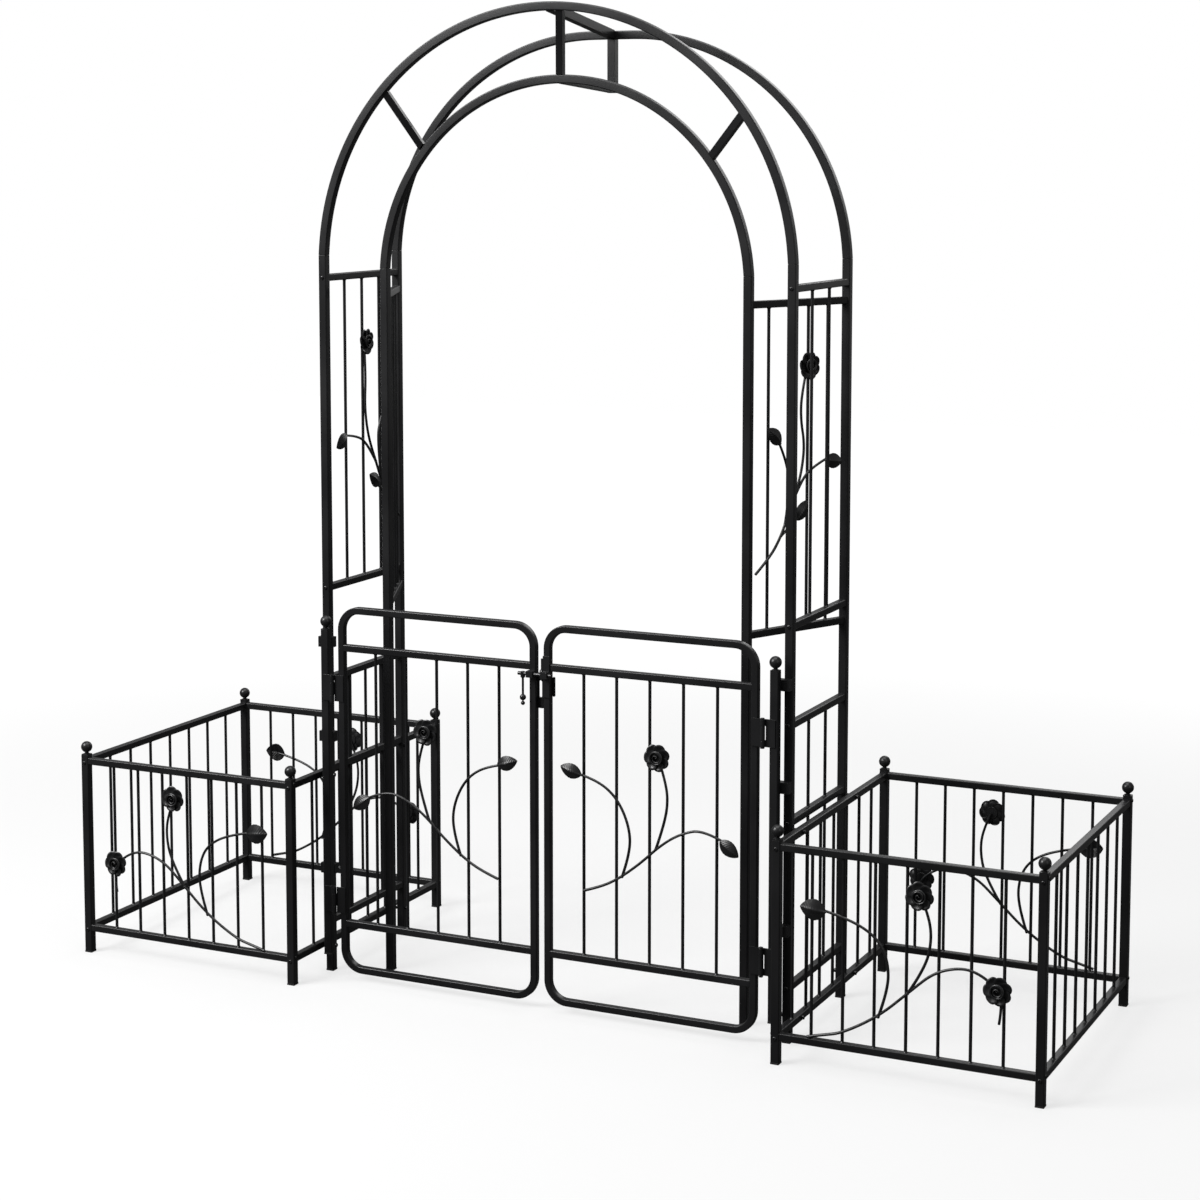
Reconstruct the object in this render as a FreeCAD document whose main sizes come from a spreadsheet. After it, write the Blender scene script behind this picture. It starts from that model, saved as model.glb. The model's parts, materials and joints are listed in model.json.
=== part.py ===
import FreeCAD, Part
import Sketcher
import math
import os
import re

# A garden arch with a double gate between two planter boxes, in millimetres.
# X runs across the arch, Y from the gate side to the back, Z up from the ground.
# The origin is on the ground at the middle of the planters' depth.

doc = FreeCAD.newDocument("garden_arch")
sheet = doc.addObject("Spreadsheet::Sheet", "sizes")

# The driving dimensions: name, value and what it is.
DIMENSIONS = [
    ("post_tube", 19, "side of the square tube of posts and arches"),
    ("tube_wall", 0.8, "wall of every tube"),
    ("arch_half", 568, "outer posts, from the middle plane"),
    ("arch_front", -207, "front arch, along Y"),
    ("arch_back", 121, "back arch, along Y"),
    ("arch_centre", 1638, "height of the outer rings' centre"),
    ("joint_rise", 25, "post joint above the ring's centre"),
    ("inner_half", 444, "inner posts, from the middle plane"),
    ("inner_line", -146, "inner arch, along Y"),
    ("inner_drop", 30, "inner ring's centre below the outer rings'"),
    ("back_flat", 97, "straight run at the top of the back arch"),
    ("seam", 0.4, "gap that shows at a post joint"),
    ("spigot_play", 0.2, "play of a spigot or plug in its tube, each side"),
    ("spigot_length", 34, "spigot of an arch inside its post"),
    ("spigot_plate", 3, "plate that closes the arch's tube above its spigot"),
    ("spacer_tube", 16, "side of the spacers between the rings"),
    ("left_spacer_outer", 136, "left spacer on the front ring, in degrees from +X"),
    ("left_spacer_inner", 139.5, "left spacer on the inner ring"),
    ("top_spacer_outer", 87, "top spacer on the front ring"),
    ("top_spacer_inner", 90, "top spacer on the inner ring"),
    ("right_spacer_outer", 36.5, "right spacer on the front ring"),
    ("right_spacer_inner", 37.5, "right spacer on the inner ring"),
    ("low_drop", 15, "fall of the low apex bar towards the back"),
    ("rail_tube", 16, "side of the panels' rails"),
    ("bar_radius", 3.5, "round bars of all panels"),
    ("trellis_top", 1612, "upper rail of the side trellis"),
    ("trellis_bottom", 902, "lower rail of the side trellis"),
    ("trellis_drop", 40, "inner trellis rails below the side trellis rails"),
    ("left_side_bars", 3, "bars of the left side trellis"),
    ("right_side_bars", 2, "bars of the right side trellis and low side panel"),
    ("inner_bars", 4, "bars of each inner trellis"),
    ("panel_top", 690, "upper rail of the low side panel"),
    ("panel_middle", 480, "middle rail of the low side panel"),
    ("panel_bottom", 120, "lower rail of the low side panel"),
    ("upright_side", 12, "square uprights of the left low side panel"),
    ("gate_post_half", 550, "gate posts, from the middle plane"),
    ("gate_post_line", -245, "gate posts, along Y"),
    ("gate_post_foot", 56, "lower end of the gate post's tube"),
    ("gate_post_top", 812, "upper end of the gate post's tube"),
    ("bracket_low", 250, "lowest gate post bracket"),
    ("bracket_middle", 560, "middle gate post bracket"),
    ("bracket_high", 780, "highest gate post bracket"),
    ("bracket_height", 24, "height of a gate post bracket"),
    ("gate_tube", 16, "side of the gates' square tube"),
    ("gate_hinge_half", 506, "hinge stile, from the middle plane"),
    ("gate_meeting_half", 17.3, "meeting stile, from the middle plane"),
    ("gate_bottom", 26, "bottom tube of a gate"),
    ("gate_top", 862, "top tube of a gate"),
    ("gate_rail_high", 774, "upper rail inside a gate"),
    ("gate_rail_low", 132, "lower rail inside a gate"),
    ("gate_bend", 46, "bend of a gate's corners, at the tube's middle"),
    ("gate_bars", 5, "bars of each gate"),
    ("drain_radius", 2, "drain hole under each gate"),
    ("hinge_high", 680, "upper hinges"),
    ("hinge_low", 186, "lower hinges"),
    ("hinge_height", 60, "height of a hinge"),
    ("hinge_plate", 2.5, "thickness of a hinge's plates"),
    ("hinge_overlap", 14, "how far a hinge plate lies on its tube"),
    ("knuckle_end", 15, "height of the outer knuckles"),
    ("knuckle_gap", 0.5, "gap between knuckles"),
    ("barrel_radius", 5.5, "outside of a hinge barrel"),
    ("pin_radius", 3, "hinge pin"),
    ("pin_play", 0.05, "running play around a hinge pin"),
    ("pin_head", 2.5, "height of the pin's heads"),
    ("latch_below_rail", 15, "latch bolt below the gates' upper rails"),
    ("latch_radius", 4, "round latch bolt"),
    ("latch_play", 0.1, "running play around the latch bolt"),
    ("latch_length", 82, "length of the latch bolt"),
    ("latch_reach", 9, "shut bolt's end beyond the keeper"),
    ("latch_block", 14, "side of the latch's guide and keeper"),
    ("latch_plate", 3, "plates under the guide and keeper"),
    ("keeper_rise", 41, "keeper's plate above the bolt"),
    ("keeper_fall", 51, "keeper's plate and strap below the bolt"),
    ("keeper_lip", 4.5, "keeper's plate beyond its stile, above the bolt"),
    ("lip_setback", 6, "end of the lip below the plate's upper edge"),
    ("eyelet_radius", 3.4, "eyelet at the lip's lower end"),
    ("eyelet_hole", 1.5, "radius of the eyelet's hole"),
    ("strap_width", 6, "strap beside the keeper's stile"),
    ("strap_plate", 3, "thickness of this strap"),
    ("stop_width", 11.6, "stop plate in the gap between the gates"),
    ("stop_plate", 4, "thickness of the stop plate"),
    ("stop_fall", 79, "stop plate below the bolt"),
    ("slot_width", 7.6, "slot of the stop plate"),
    ("slot_high", 17, "slot's upper end below the bolt"),
    ("slot_low", 55, "slot's lower end below the bolt"),
    ("knob_radius", 7, "ball on the latch handle"),
    ("bud_radius", 4.6, "small ball under it"),
    ("bud_drop", 13, "small ball's centre below the large one's"),
    ("handle_radius", 2.5, "handle of the latch bolt"),
    ("handle_drop", 53, "large ball's centre below the bolt"),
    ("handle_inset", 12, "handle from the bolt's tail end"),
    ("planter_inner", 593, "inner posts of a planter, from the middle plane"),
    ("planter_outer", 1159, "outer posts of a planter, from the middle plane"),
    ("planter_half", 337, "planter posts, from the middle along Y"),
    ("planter_top", 464, "upper rails of a planter"),
    ("planter_bottom", 60, "lower rails of a planter"),
    ("planter_post_top", 478, "upper end of a planter post's tube"),
    ("planter_bars", 7, "bars of each planter panel"),
    ("finial_plate", 2, "square plate under a ball"),
    ("finial_insert", 6, "plug of a finial inside its post"),
    ("neck_radius", 5, "neck under a ball"),
    ("neck_height", 7, "height of the neck"),
    ("ball_radius", 12.5, "ball finials"),
    ("foot_height", 4, "foot plug below its tube"),
    ("foot_insert", 15, "foot plug inside its tube"),
    ("screw_radius", 2.5, "screws of the panels"),
    ("screw_play", 0.2, "play around screws and bolts"),
    ("screw_reach", 12, "screw beyond its post, inside the rail"),
    ("screw_step", 4, "crossing screws above and below the rail's middle"),
    ("head_radius", 4.5, "heads of screws and bolts"),
    ("head_height", 2.5, "height of a screw head"),
    ("bolt_radius", 3, "bolts between planter and arch"),
    ("nut_height", 5, "nuts and heads of these bolts"),
    ("spacer_radius", 6, "spacer rings on these bolts"),
    ("stem_radius", 2.5, "stems of the flower work"),
    ("weld_gap", 0.2, "gap left at a welded contact of round pieces"),
    ("leaf_length", 56, "leaf"),
    ("leaf_width", 40, "leaf"),
    ("leaf_sheet", 3, "thickness of a leaf"),
    ("leaf_rib", 1.6, "radius of a leaf's middle rib"),
    ("rose_radius", 29, "outside of a rose"),
    ("rose_depth", 14, "depth of a rose"),
]

for row, (alias, number, meaning) in enumerate(DIMENSIONS, start=1):
    sheet.set(f"A{row}", meaning)
    sheet.set(f"B{row}", str(number))
    sheet.setAlias(f"B{row}", alias)
doc.recompute()

ALIASES = {alias for alias, _, _ in DIMENSIONS}

# Places that follow from the dimensions, as text for expressions.
DERIVED = {
    "joint_height": "(arch_centre + joint_rise)",
    "inner_centre": "(arch_centre - inner_drop)",
    "inner_joint": "(arch_centre - inner_drop + joint_rise)",
    "outer_ring": "sqrt(arch_half ^ 2 + joint_rise ^ 2)",
    "inner_ring": "sqrt(inner_half ^ 2 + joint_rise ^ 2)",
    "back_bend": "sqrt((arch_half - back_flat / 2) ^ 2 + joint_rise ^ 2)",
    "gate_face": "(gate_post_line - post_tube / 2)",
    "gate_line": "(gate_post_line - post_tube / 2 + gate_tube / 2)",
    "post_side": "(gate_post_half - post_tube / 2)",
    "stile_side": "(gate_hinge_half + gate_tube / 2)",
    "hinge_axis": "((gate_post_half - post_tube / 2 + gate_hinge_half + gate_tube / 2) / 2)",
    "hinge_line": "(gate_post_line - post_tube / 2 - barrel_radius)",
    "latch_line": "(gate_post_line - post_tube / 2 - latch_plate - latch_block / 2)",
    "latch_height": "(gate_rail_high - latch_below_rail)",
    "meeting_side": "(gate_meeting_half - gate_tube / 2)",
}


def size(alias):
    return float(getattr(sheet, alias))


def linked(text):
    # Writes an expression on the sheet's cells from plain names of sizes.
    for name, meaning in DERIVED.items():
        text = re.sub(rf"\b{name}\b", meaning, text)
    return re.sub(r"[a-z_]+", lambda word: f"sizes.{word[0]}" if word[0] in ALIASES else word[0], text)


def bind(piece, **properties):
    for name, text in properties.items():
        piece.setExpression(name.replace("__", "."), linked(text))
    return piece


def stand(piece, x, y, z):
    return bind(piece, Placement__Base__x=x, Placement__Base__y=y, Placement__Base__z=z)


def span(low, high):
    return f"({high}) - ({low})"


def block(name, x, y, z):
    # A box between three pairs of limits.
    piece = doc.addObject("Part::Box", name)
    bind(piece, Length=span(*x), Width=span(*y), Height=span(*z))
    return stand(piece, x[0], y[0], z[0])


TURNS = {
    "x": FreeCAD.Rotation(FreeCAD.Vector(0, 1, 0), 90),
    "y": FreeCAD.Rotation(FreeCAD.Vector(1, 0, 0), -90),
    "z": FreeCAD.Rotation(),
}


def rod(name, axis, radius, along, across):
    # A round rod along an axis, between two limits, at its two other coordinates.
    piece = doc.addObject("Part::Cylinder", name)
    piece.Placement = FreeCAD.Placement(FreeCAD.Vector(), TURNS[axis])
    bind(piece, Radius=radius, Height=span(*along))
    rest = iter(across)
    start = [along[0] if letter == axis else next(rest) for letter in "xyz"]
    return stand(piece, *start)


def limits(axis, along, across, side):
    rest = iter(across)
    found = []
    for letter in "xyz":
        if letter == axis:
            found.append(along)
        else:
            centre = next(rest)
            found.append((f"({centre}) - ({side}) / 2", f"({centre}) + ({side}) / 2"))
    return found


def cut(name, base, *tools):
    piece = doc.addObject("Part::Cut", name)
    piece.Base = base
    piece.Tool = tools[0] if len(tools) == 1 else fuse(f"{name}_tools", tools)
    return piece


def common(name, base, tool):
    piece = doc.addObject("Part::Common", name)
    piece.Base = base
    piece.Tool = tool
    return piece


def fuse(name, parts):
    piece = doc.addObject("Part::MultiFuse", name)
    piece.Shapes = list(parts)
    return piece


def group(name, parts):
    piece = doc.addObject("Part::Compound", name)
    piece.Links = list(parts)
    return piece


def tube(name, axis, along, across, side):
    # A square tube, open at both ends.
    outer = block(f"{name}_outside", *limits(axis, along, across, side))
    inner = block(f"{name}_inside", *limits(axis, along, across, f"{side} - 2 * tube_wall"))
    return cut(name, outer, inner)


def sided(side, near, far):
    # The X limits of a piece on one side, from its distances to the middle plane.
    if side > 0:
        return (near, far)
    return (f"-({far})", f"-({near})")


def at_side(side, distance):
    return distance if side > 0 else f"-({distance})"


NODES = []


def node(label, piece):
    piece.Label = label
    NODES.append(piece)
    return piece


SIDES = (("left", -1), ("right", 1))


# Posts: square tubes with clearance holes for the screws and bolts that cross them.

def post(label, x, y, low, high, screws_y=(), screws_x=(), bolts_x=()):
    shell = tube(f"{label}_tube", "z", (low, high), (x, y), "post_tube")
    holes = []
    reach_x = (f"{x} - post_tube", f"{x} + post_tube")
    reach_y = (f"{y} - post_tube", f"{y} + post_tube")
    for number, height in enumerate(screws_y):
        holes.append(rod(f"{label}_hole_y{number}", "y", "screw_radius + screw_play", reach_y, (x, height)))
    for number, height in enumerate(screws_x):
        holes.append(rod(f"{label}_hole_x{number}", "x", "screw_radius + screw_play", reach_x, (y, height)))
    for number, height in enumerate(bolts_x):
        holes.append(rod(f"{label}_bolt_x{number}", "x", "bolt_radius + screw_play", reach_x, (y, height)))
    return cut(label, shell, *holes) if holes else shell


SIDE_RAILS = ("trellis_top", "trellis_bottom", "panel_top", "panel_middle", "panel_bottom")
BRACKETS = ("bracket_low", "bracket_middle", "bracket_high")
PLANTER_RAILS = ("planter_top", "planter_bottom")
ARCH_LINES = (("front", "arch_front"), ("back", "arch_back"))


def make_posts():
    for word, side in SIDES:
        x = at_side(side, "arch_half")
        for place, line in ARCH_LINES:
            screws = SIDE_RAILS + (BRACKETS if place == "front" else ())
            piece = post(f"{place}_post_{word}", x, line, "foot_height", "joint_height - seam",
                         screws_y=screws, bolts_x=PLANTER_RAILS)
            node(f"{place}_post_{word}", piece)
        piece = post(f"inner_post_{word}", at_side(side, "inner_half"), "inner_line",
                     "foot_height", "inner_joint - seam")
        node(f"inner_post_{word}", piece)
        posts = []
        for end, x in (("inner", "planter_inner"), ("outer", "planter_outer")):
            for place, y in (("front", "-planter_half"), ("back", "planter_half")):
                name = f"planter_{place}_{end}_post_{word}"
                crossing_y = [f"{rail} - screw_step" for rail in PLANTER_RAILS]
                crossing_x = [f"{rail} + screw_step" for rail in PLANTER_RAILS]
                posts.append(post(name, at_side(side, x), y, "foot_height", "planter_post_top",
                                  screws_y=crossing_y, screws_x=crossing_x))
        node(f"planter_posts_{word}", group(f"planter_posts_{word}", posts))
        piece = post(f"gate_post_{word}", at_side(side, "gate_post_half"), "gate_post_line",
                     "gate_post_foot", "gate_post_top")
        node(f"gate_post_{word}", piece)


# Arches: a hollow square section turned half round, with a spigot for each post.

def square_in_sketch(sketch, name, left, side):
    # A square that starts at a distance from the sketch's Y axis and is centred on its X axis.
    corners = [(10, -10), (30, -10), (30, 10), (10, 10)]
    first = sketch.GeometryCount
    for number in range(4):
        start = FreeCAD.Vector(*corners[number], 0)
        end = FreeCAD.Vector(*corners[(number + 1) % 4], 0)
        sketch.addGeometry(Part.LineSegment(start, end), False)
    for number in range(4):
        sketch.addConstraint(Sketcher.Constraint("Coincident", first + number, 2, first + (number + 1) % 4, 1))
    for number, way in enumerate(("Horizontal", "Vertical", "Horizontal", "Vertical")):
        sketch.addConstraint(Sketcher.Constraint(way, first + number))
    rules = (
        ("left", Sketcher.Constraint("DistanceX", -1, 1, first, 1, 10), left),
        ("wide", Sketcher.Constraint("DistanceX", first, 1, first, 2, 20), side),
        ("high", Sketcher.Constraint("DistanceY", first + 1, 1, first + 1, 2, 20), side),
        ("low", Sketcher.Constraint("DistanceY", first, 1, -1, 1, 10), f"({side}) / 2"),
    )
    for word, constraint, text in rules:
        index = sketch.addConstraint(constraint)
        sketch.renameConstraint(index, f"{name}_{word}")
        sketch.setExpression(f"Constraints.{name}_{word}", linked(text))


def half_ring(name, radius):
    # The ring's axis is the body's Y axis, and it bends from +X over the top to -X.
    body = doc.addObject("PartDesign::Body", name)
    sketch = body.newObject("Sketcher::SketchObject", f"{name}_section")
    plane = next(item for item in body.Origin.OriginFeatures if item.Role == "XY_Plane")
    sketch.AttachmentSupport = (plane, [""])
    sketch.MapMode = "FlatFace"
    square_in_sketch(sketch, "outside", f"{radius} - post_tube / 2", "post_tube")
    square_in_sketch(sketch, "inside", f"{radius} - post_tube / 2 + tube_wall", "post_tube - 2 * tube_wall")
    bend = body.newObject("PartDesign::Revolution", f"{name}_bend")
    bend.Profile = sketch
    bend.ReferenceAxis = (sketch, ["V_Axis"])
    bend.Angle = 180
    bend.Reversed = True
    return body


def round_bow(name, line, radius, centre):
    return stand(half_ring(f"{name}_ring", radius), "0", line, centre)


def flat_bow(name, line, radius, centre, flat):
    # Two quarter bends with a straight run between them at the top.
    deep = (f"{line} - post_tube", f"{line} + post_tube")
    tall = (f"{centre} - {radius}", f"{centre} + 2 * {radius}")
    parts = [tube(f"{name}_straight", "x", (f"-{flat} / 2", f"{flat} / 2"),
                  (line, f"{centre} + {radius}"), "post_tube")]
    for word, side in SIDES:
        ring = stand(half_ring(f"{name}_{word}_ring", radius), at_side(side, f"{flat} / 2"), line, centre)
        outward = sided(side, f"{flat} / 2", f"{flat} / 2 + 2 * {radius}")
        parts.append(common(f"{name}_{word}_bend", ring, block(f"{name}_{word}_side", outward, deep, tall)))
    return fuse(f"{name}_whole", parts)


def arch(label, bow, half, line, centre, joint):
    below = block(f"{label}_below", (f"-2 * {half}", f"2 * {half}"),
                  (f"{line} - post_tube", f"{line} + post_tube"), (f"{centre} - 2 * post_tube", joint))
    parts = [cut(f"{label}_bow", bow, below)]
    for word, side in SIDES:
        x = at_side(side, half)
        plate = limits("z", (joint, f"{joint} + spigot_plate"), (x, line), "post_tube - tube_wall")
        spigot = limits("z", (f"{joint} - spigot_length", joint), (x, line),
                        "post_tube - 2 * tube_wall - 2 * spigot_play")
        parts.append(block(f"{label}_plate_{word}", *plate))
        parts.append(block(f"{label}_spigot_{word}", *spigot))
    node(label, fuse(label, parts))


def make_arches():
    front = round_bow("front_arch", "arch_front", "outer_ring", "arch_centre")
    arch("front_arch", front, "arch_half", "arch_front", "arch_centre", "joint_height")
    back = flat_bow("back_arch", "arch_back", "back_bend", "arch_centre", "back_flat")
    arch("back_arch", back, "arch_half", "arch_back", "arch_centre", "joint_height")
    inner = round_bow("inner_arch", "inner_line", "inner_ring", "inner_centre")
    arch("inner_arch", inner, "inner_half", "inner_line", "inner_centre", "inner_joint")


# Spacers: three short tubes from the front ring in to the inner ring, coped to both.

def ring_radius(half):
    return math.hypot(size(half), size("joint_rise"))


def on_circle(degrees):
    return FreeCAD.Vector(math.cos(math.radians(degrees)), 0, math.sin(math.radians(degrees)))


def slanted_tube(name, start, end, across, side):
    # A square tube from start to end, with two of its sides facing along across.
    way = end.sub(start)
    stick = tube(f"{name}_stick", "z", ("0", f"{way.Length}"), ("0", "0"), side)
    stick.Placement = FreeCAD.Placement(start, FreeCAD.Rotation(across, FreeCAD.Vector(), way, "ZXY"))
    return stick


def make_spacers():
    reach = ("arch_front - post_tube", "inner_line + post_tube")
    between = cut("between_rings",
                  rod("inside_outer_ring", "y", "outer_ring - post_tube / 2", reach, ("0", "arch_centre")),
                  rod("outside_inner_ring", "y", "inner_ring + post_tube / 2", reach, ("0", "inner_centre")))
    outer_centre = FreeCAD.Vector(0, size("arch_front"), size("arch_centre"))
    inner_centre = FreeCAD.Vector(0, size("inner_line"), size("arch_centre") - size("inner_drop"))
    spacers = []
    for name in ("left_spacer", "top_spacer", "right_spacer"):
        low_way = on_circle(size(f"{name}_inner"))
        low = inner_centre + low_way * ring_radius("inner_half")
        high = outer_centre + on_circle(size(f"{name}_outer")) * ring_radius("arch_half")
        stick = slanted_tube(name, low, high, FreeCAD.Vector(low_way.z, 0, -low_way.x), "spacer_tube")
        spacers.append(common(f"{name}_fitted", stick, between))
    node("arch_spacers", group("arch_spacers", spacers))


# Apex bars: a ridge bar between the outer rings, a hanger and a bar forward to the inner ring.

def make_apex():
    top = size("arch_centre") + ring_radius("arch_half")
    back_top = size("arch_centre") + math.hypot(size("arch_half") - size("back_flat") / 2, size("joint_rise"))
    low = size("arch_centre") - size("inner_drop") + ring_radius("inner_half")
    across = FreeCAD.Vector(1, 0, 0)
    bars = []
    for name, line, height, back_height in (("ridge_bar", "arch_front", top, back_top),
                                            ("low_bar", "inner_line", low, low - size("low_drop"))):
        way = FreeCAD.Vector(0, size("arch_back") - size(line), back_height - height)
        start = FreeCAD.Vector(0, size(line), height)
        spare = way * (size("post_tube") / way.Length)
        stick = slanted_tube(name, start - spare, start + way + spare, across, "post_tube")
        clear = block(f"{name}_clear", ("-post_tube", "post_tube"),
                      (f"{line} + post_tube / 2", "arch_back - post_tube / 2"),
                      (f"{back_height} - 2 * post_tube", f"{height} + 2 * post_tube"))
        bars.append(common(f"{name}_fitted", stick, clear))
    hanger = tube("apex_hanger", "z", ("inner_centre + inner_ring - low_drop - post_tube / 2",
                                       "arch_centre + back_bend - post_tube / 2"), ("0", "arch_back"), "post_tube")
    node("apex_bars", group("apex_bars", [*bars, hanger]))


# Panels: rails with bars between them, welded to one piece.

def panel(name, axis, along, line, heights, bars, square=()):
    # heights run from the top rail down. bars and square are shares of the clear length.
    parts = []
    for number, height in enumerate(heights):
        across = (line, height)
        parts.append(tube(f"{name}_rail{number}", axis, along, across, "rail_tube"))
    for number, (upper, lower) in enumerate(zip(heights, heights[1:])):
        between = (f"{lower} + rail_tube / 2", f"{upper} - rail_tube / 2")
        for count, share in enumerate(bars):
            place = f"{along[0]} + ({span(*along)}) * {share}"
            across = (place, line) if axis == "x" else (line, place)
            parts.append(rod(f"{name}_bar{number}_{count}", "z", "bar_radius", between, across))
        for count, share in enumerate(square):
            place = f"{along[0]} + ({span(*along)}) * {share}"
            across = (place, line) if axis == "x" else (line, place)
            parts.append(block(f"{name}_upright{number}_{count}",
                               *limits("z", between, across, "upright_side")))
    return fuse(name, parts)


def shares(count):
    return [f"{number} / {count + 1}" for number in range(1, count + 1)]


def make_side_panels():
    clear = ("arch_front + post_tube / 2", "arch_back - post_tube / 2")
    right_bars = shares(int(size("right_side_bars")))
    layouts = {"left": (shares(int(size("left_side_bars"))), ["1 / 2"], ["1 / 4", "3 / 4"]),
               "right": (right_bars, right_bars, [])}
    for word, side in SIDES:
        line = at_side(side, "arch_half")
        high_bars, low_bars, uprights = layouts[word]
        node(f"side_trellis_{word}", panel(f"side_trellis_{word}", "y", clear, line,
                                           ("trellis_top", "trellis_bottom"), high_bars))
        node(f"side_panel_{word}", panel(f"side_panel_{word}", "y", clear, line,
                                         ("panel_top", "panel_middle", "panel_bottom"), low_bars, uprights))


# Inner trellis: it runs aslant from the inner post to the back post, and is coped to both.

def make_inner_trellises():
    length = math.hypot(size("arch_half") - size("inner_half"), size("arch_back") - size("inner_line"))
    for word, side in SIDES:
        name = f"inner_trellis_{word}"
        flat = panel(f"{name}_flat", "x", ("0", f"{length}"), "0",
                     ("trellis_top - trellis_drop", "trellis_bottom - trellis_drop"),
                     shares(int(size("inner_bars"))))
        run = FreeCAD.Vector(side * (size("arch_half") - size("inner_half")),
                             size("arch_back") - size("inner_line"), 0)
        start = FreeCAD.Vector(side * size("inner_half"), size("inner_line"), 0)
        flat.Placement = FreeCAD.Placement(start, FreeCAD.Rotation(FreeCAD.Vector(1, 0, 0), run))
        tall = ("0", "trellis_top")
        ends = [block(f"{name}_{end}", *limits("z", tall, (at_side(side, x), y), "post_tube"))
                for end, x, y in (("inner_end", "inner_half", "inner_line"),
                                  ("back_end", "arch_half", "arch_back"))]
        node(name, cut(name, flat, *ends))


def make_planter_panels():
    for word, side in SIDES:
        across = sided(side, "planter_inner + post_tube / 2", "planter_outer - post_tube / 2")
        deep = ("-planter_half + post_tube / 2", "planter_half - post_tube / 2")
        bars = shares(int(size("planter_bars")))
        for place, line in (("front", "-planter_half"), ("back", "planter_half")):
            name = f"planter_{place}_{word}"
            node(name, panel(name, "x", across, line, PLANTER_RAILS, bars))
        name = f"planter_outer_{word}"
        node(name, panel(name, "y", deep, at_side(side, "planter_outer"), PLANTER_RAILS, bars))
        name = f"planter_inner_{word}"
        whole = panel(f"{name}_whole", "y", deep, at_side(side, "planter_inner"), PLANTER_RAILS, bars)
        holes = []
        for place, line in ARCH_LINES:
            for rail in PLANTER_RAILS:
                reach = sided(side, "planter_inner - rail_tube", "planter_inner + rail_tube")
                holes.append(rod(f"{name}_{place}_{rail}", "x", "bolt_radius + screw_play",
                                 reach, (line, rail)))
        node(name, cut(name, whole, *holes))


# Finials and foot plugs: they close the tubes' ends.

def finial(name, x, y, top):
    side = "post_tube - 2 * tube_wall - 2 * spigot_play"
    plate = block(f"{name}_plate", *limits("z", (top, f"{top} + finial_plate"), (x, y), "post_tube"))
    plug = block(f"{name}_plug", *limits("z", (f"{top} - finial_insert", top), (x, y), side))
    neck = rod(f"{name}_neck", "z", "neck_radius", (f"{top} + finial_plate",
               f"{top} + finial_plate + neck_height"), (x, y))
    ball = doc.addObject("Part::Sphere", f"{name}_ball")
    bind(ball, Radius="ball_radius")
    stand(ball, x, y, f"{top} + finial_plate + neck_height / 2 + ball_radius")
    return fuse(name, [plate, plug, neck, ball])


def foot(name, x, y, low, insert):
    side = "post_tube - 2 * tube_wall - 2 * spigot_play"
    sole = block(f"{name}_sole", *limits("z", (f"{low} - foot_height", low), (x, y), "post_tube"))
    plug = block(f"{name}_plug", *limits("z", (low, f"{low} + {insert}"), (x, y), side))
    return fuse(name, [sole, plug])


def make_ends():
    planter_finials = []
    gate_finials = []
    feet = []
    for word, side in SIDES:
        for end, x in (("inner", "planter_inner"), ("outer", "planter_outer")):
            for place, y in (("front", "-planter_half"), ("back", "planter_half")):
                key = f"{place}_{end}_{word}"
                planter_finials.append(finial(f"finial_{key}", at_side(side, x), y, "planter_post_top"))
                feet.append(foot(f"foot_{key}", at_side(side, x), y, "foot_height", "foot_insert"))
        for place, line in ARCH_LINES:
            feet.append(foot(f"foot_{place}_{word}", at_side(side, "arch_half"), line,
                             "foot_height", "foot_insert"))
        feet.append(foot(f"foot_under_inner_{word}", at_side(side, "inner_half"), "inner_line",
                         "foot_height", "foot_insert"))
        feet.append(foot(f"foot_under_gate_{word}", at_side(side, "gate_post_half"), "gate_post_line",
                         "gate_post_foot", "foot_insert"))
        gate_finials.append(finial(f"finial_gate_{word}", at_side(side, "gate_post_half"),
                                   "gate_post_line", "gate_post_top"))
    node("planter_finials", group("planter_finials", planter_finials))
    node("gate_post_finials", group("gate_post_finials", gate_finials))
    node("foot_plugs", group("foot_plugs", feet))


# Gate post brackets: blocks that carry each gate post on its arch post.

def make_brackets():
    brackets = []
    for word, side in SIDES:
        for height in BRACKETS:
            name = f"{height}_{word}"
            whole = block(f"{name}_block",
                          sided(side, "gate_post_half - post_tube / 2", "arch_half + post_tube / 2"),
                          ("gate_post_line + post_tube / 2", "arch_front - post_tube / 2"),
                          (f"{height} - bracket_height / 2", f"{height} + bracket_height / 2"))
            hole = rod(f"{name}_hole", "y", "screw_radius + screw_play",
                       ("arch_front - post_tube / 2 - screw_reach - screw_play", "arch_front"),
                       (at_side(side, "arch_half"), height))
            brackets.append(cut(name, whole, hole))
    node("gate_post_brackets", group("gate_post_brackets", brackets))


# Gates: a bent frame of square tube, two rails with bars, hinge straps and the latch.

def edges_along_y(shape):
    found = []
    for number, edge in enumerate(shape.Edges, start=1):
        direction = edge.Vertexes[-1].Point.sub(edge.Vertexes[0].Point)
        if abs(direction.y) > 0.99 * direction.Length:
            found.append(f"Edge{number}")
    return found


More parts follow.
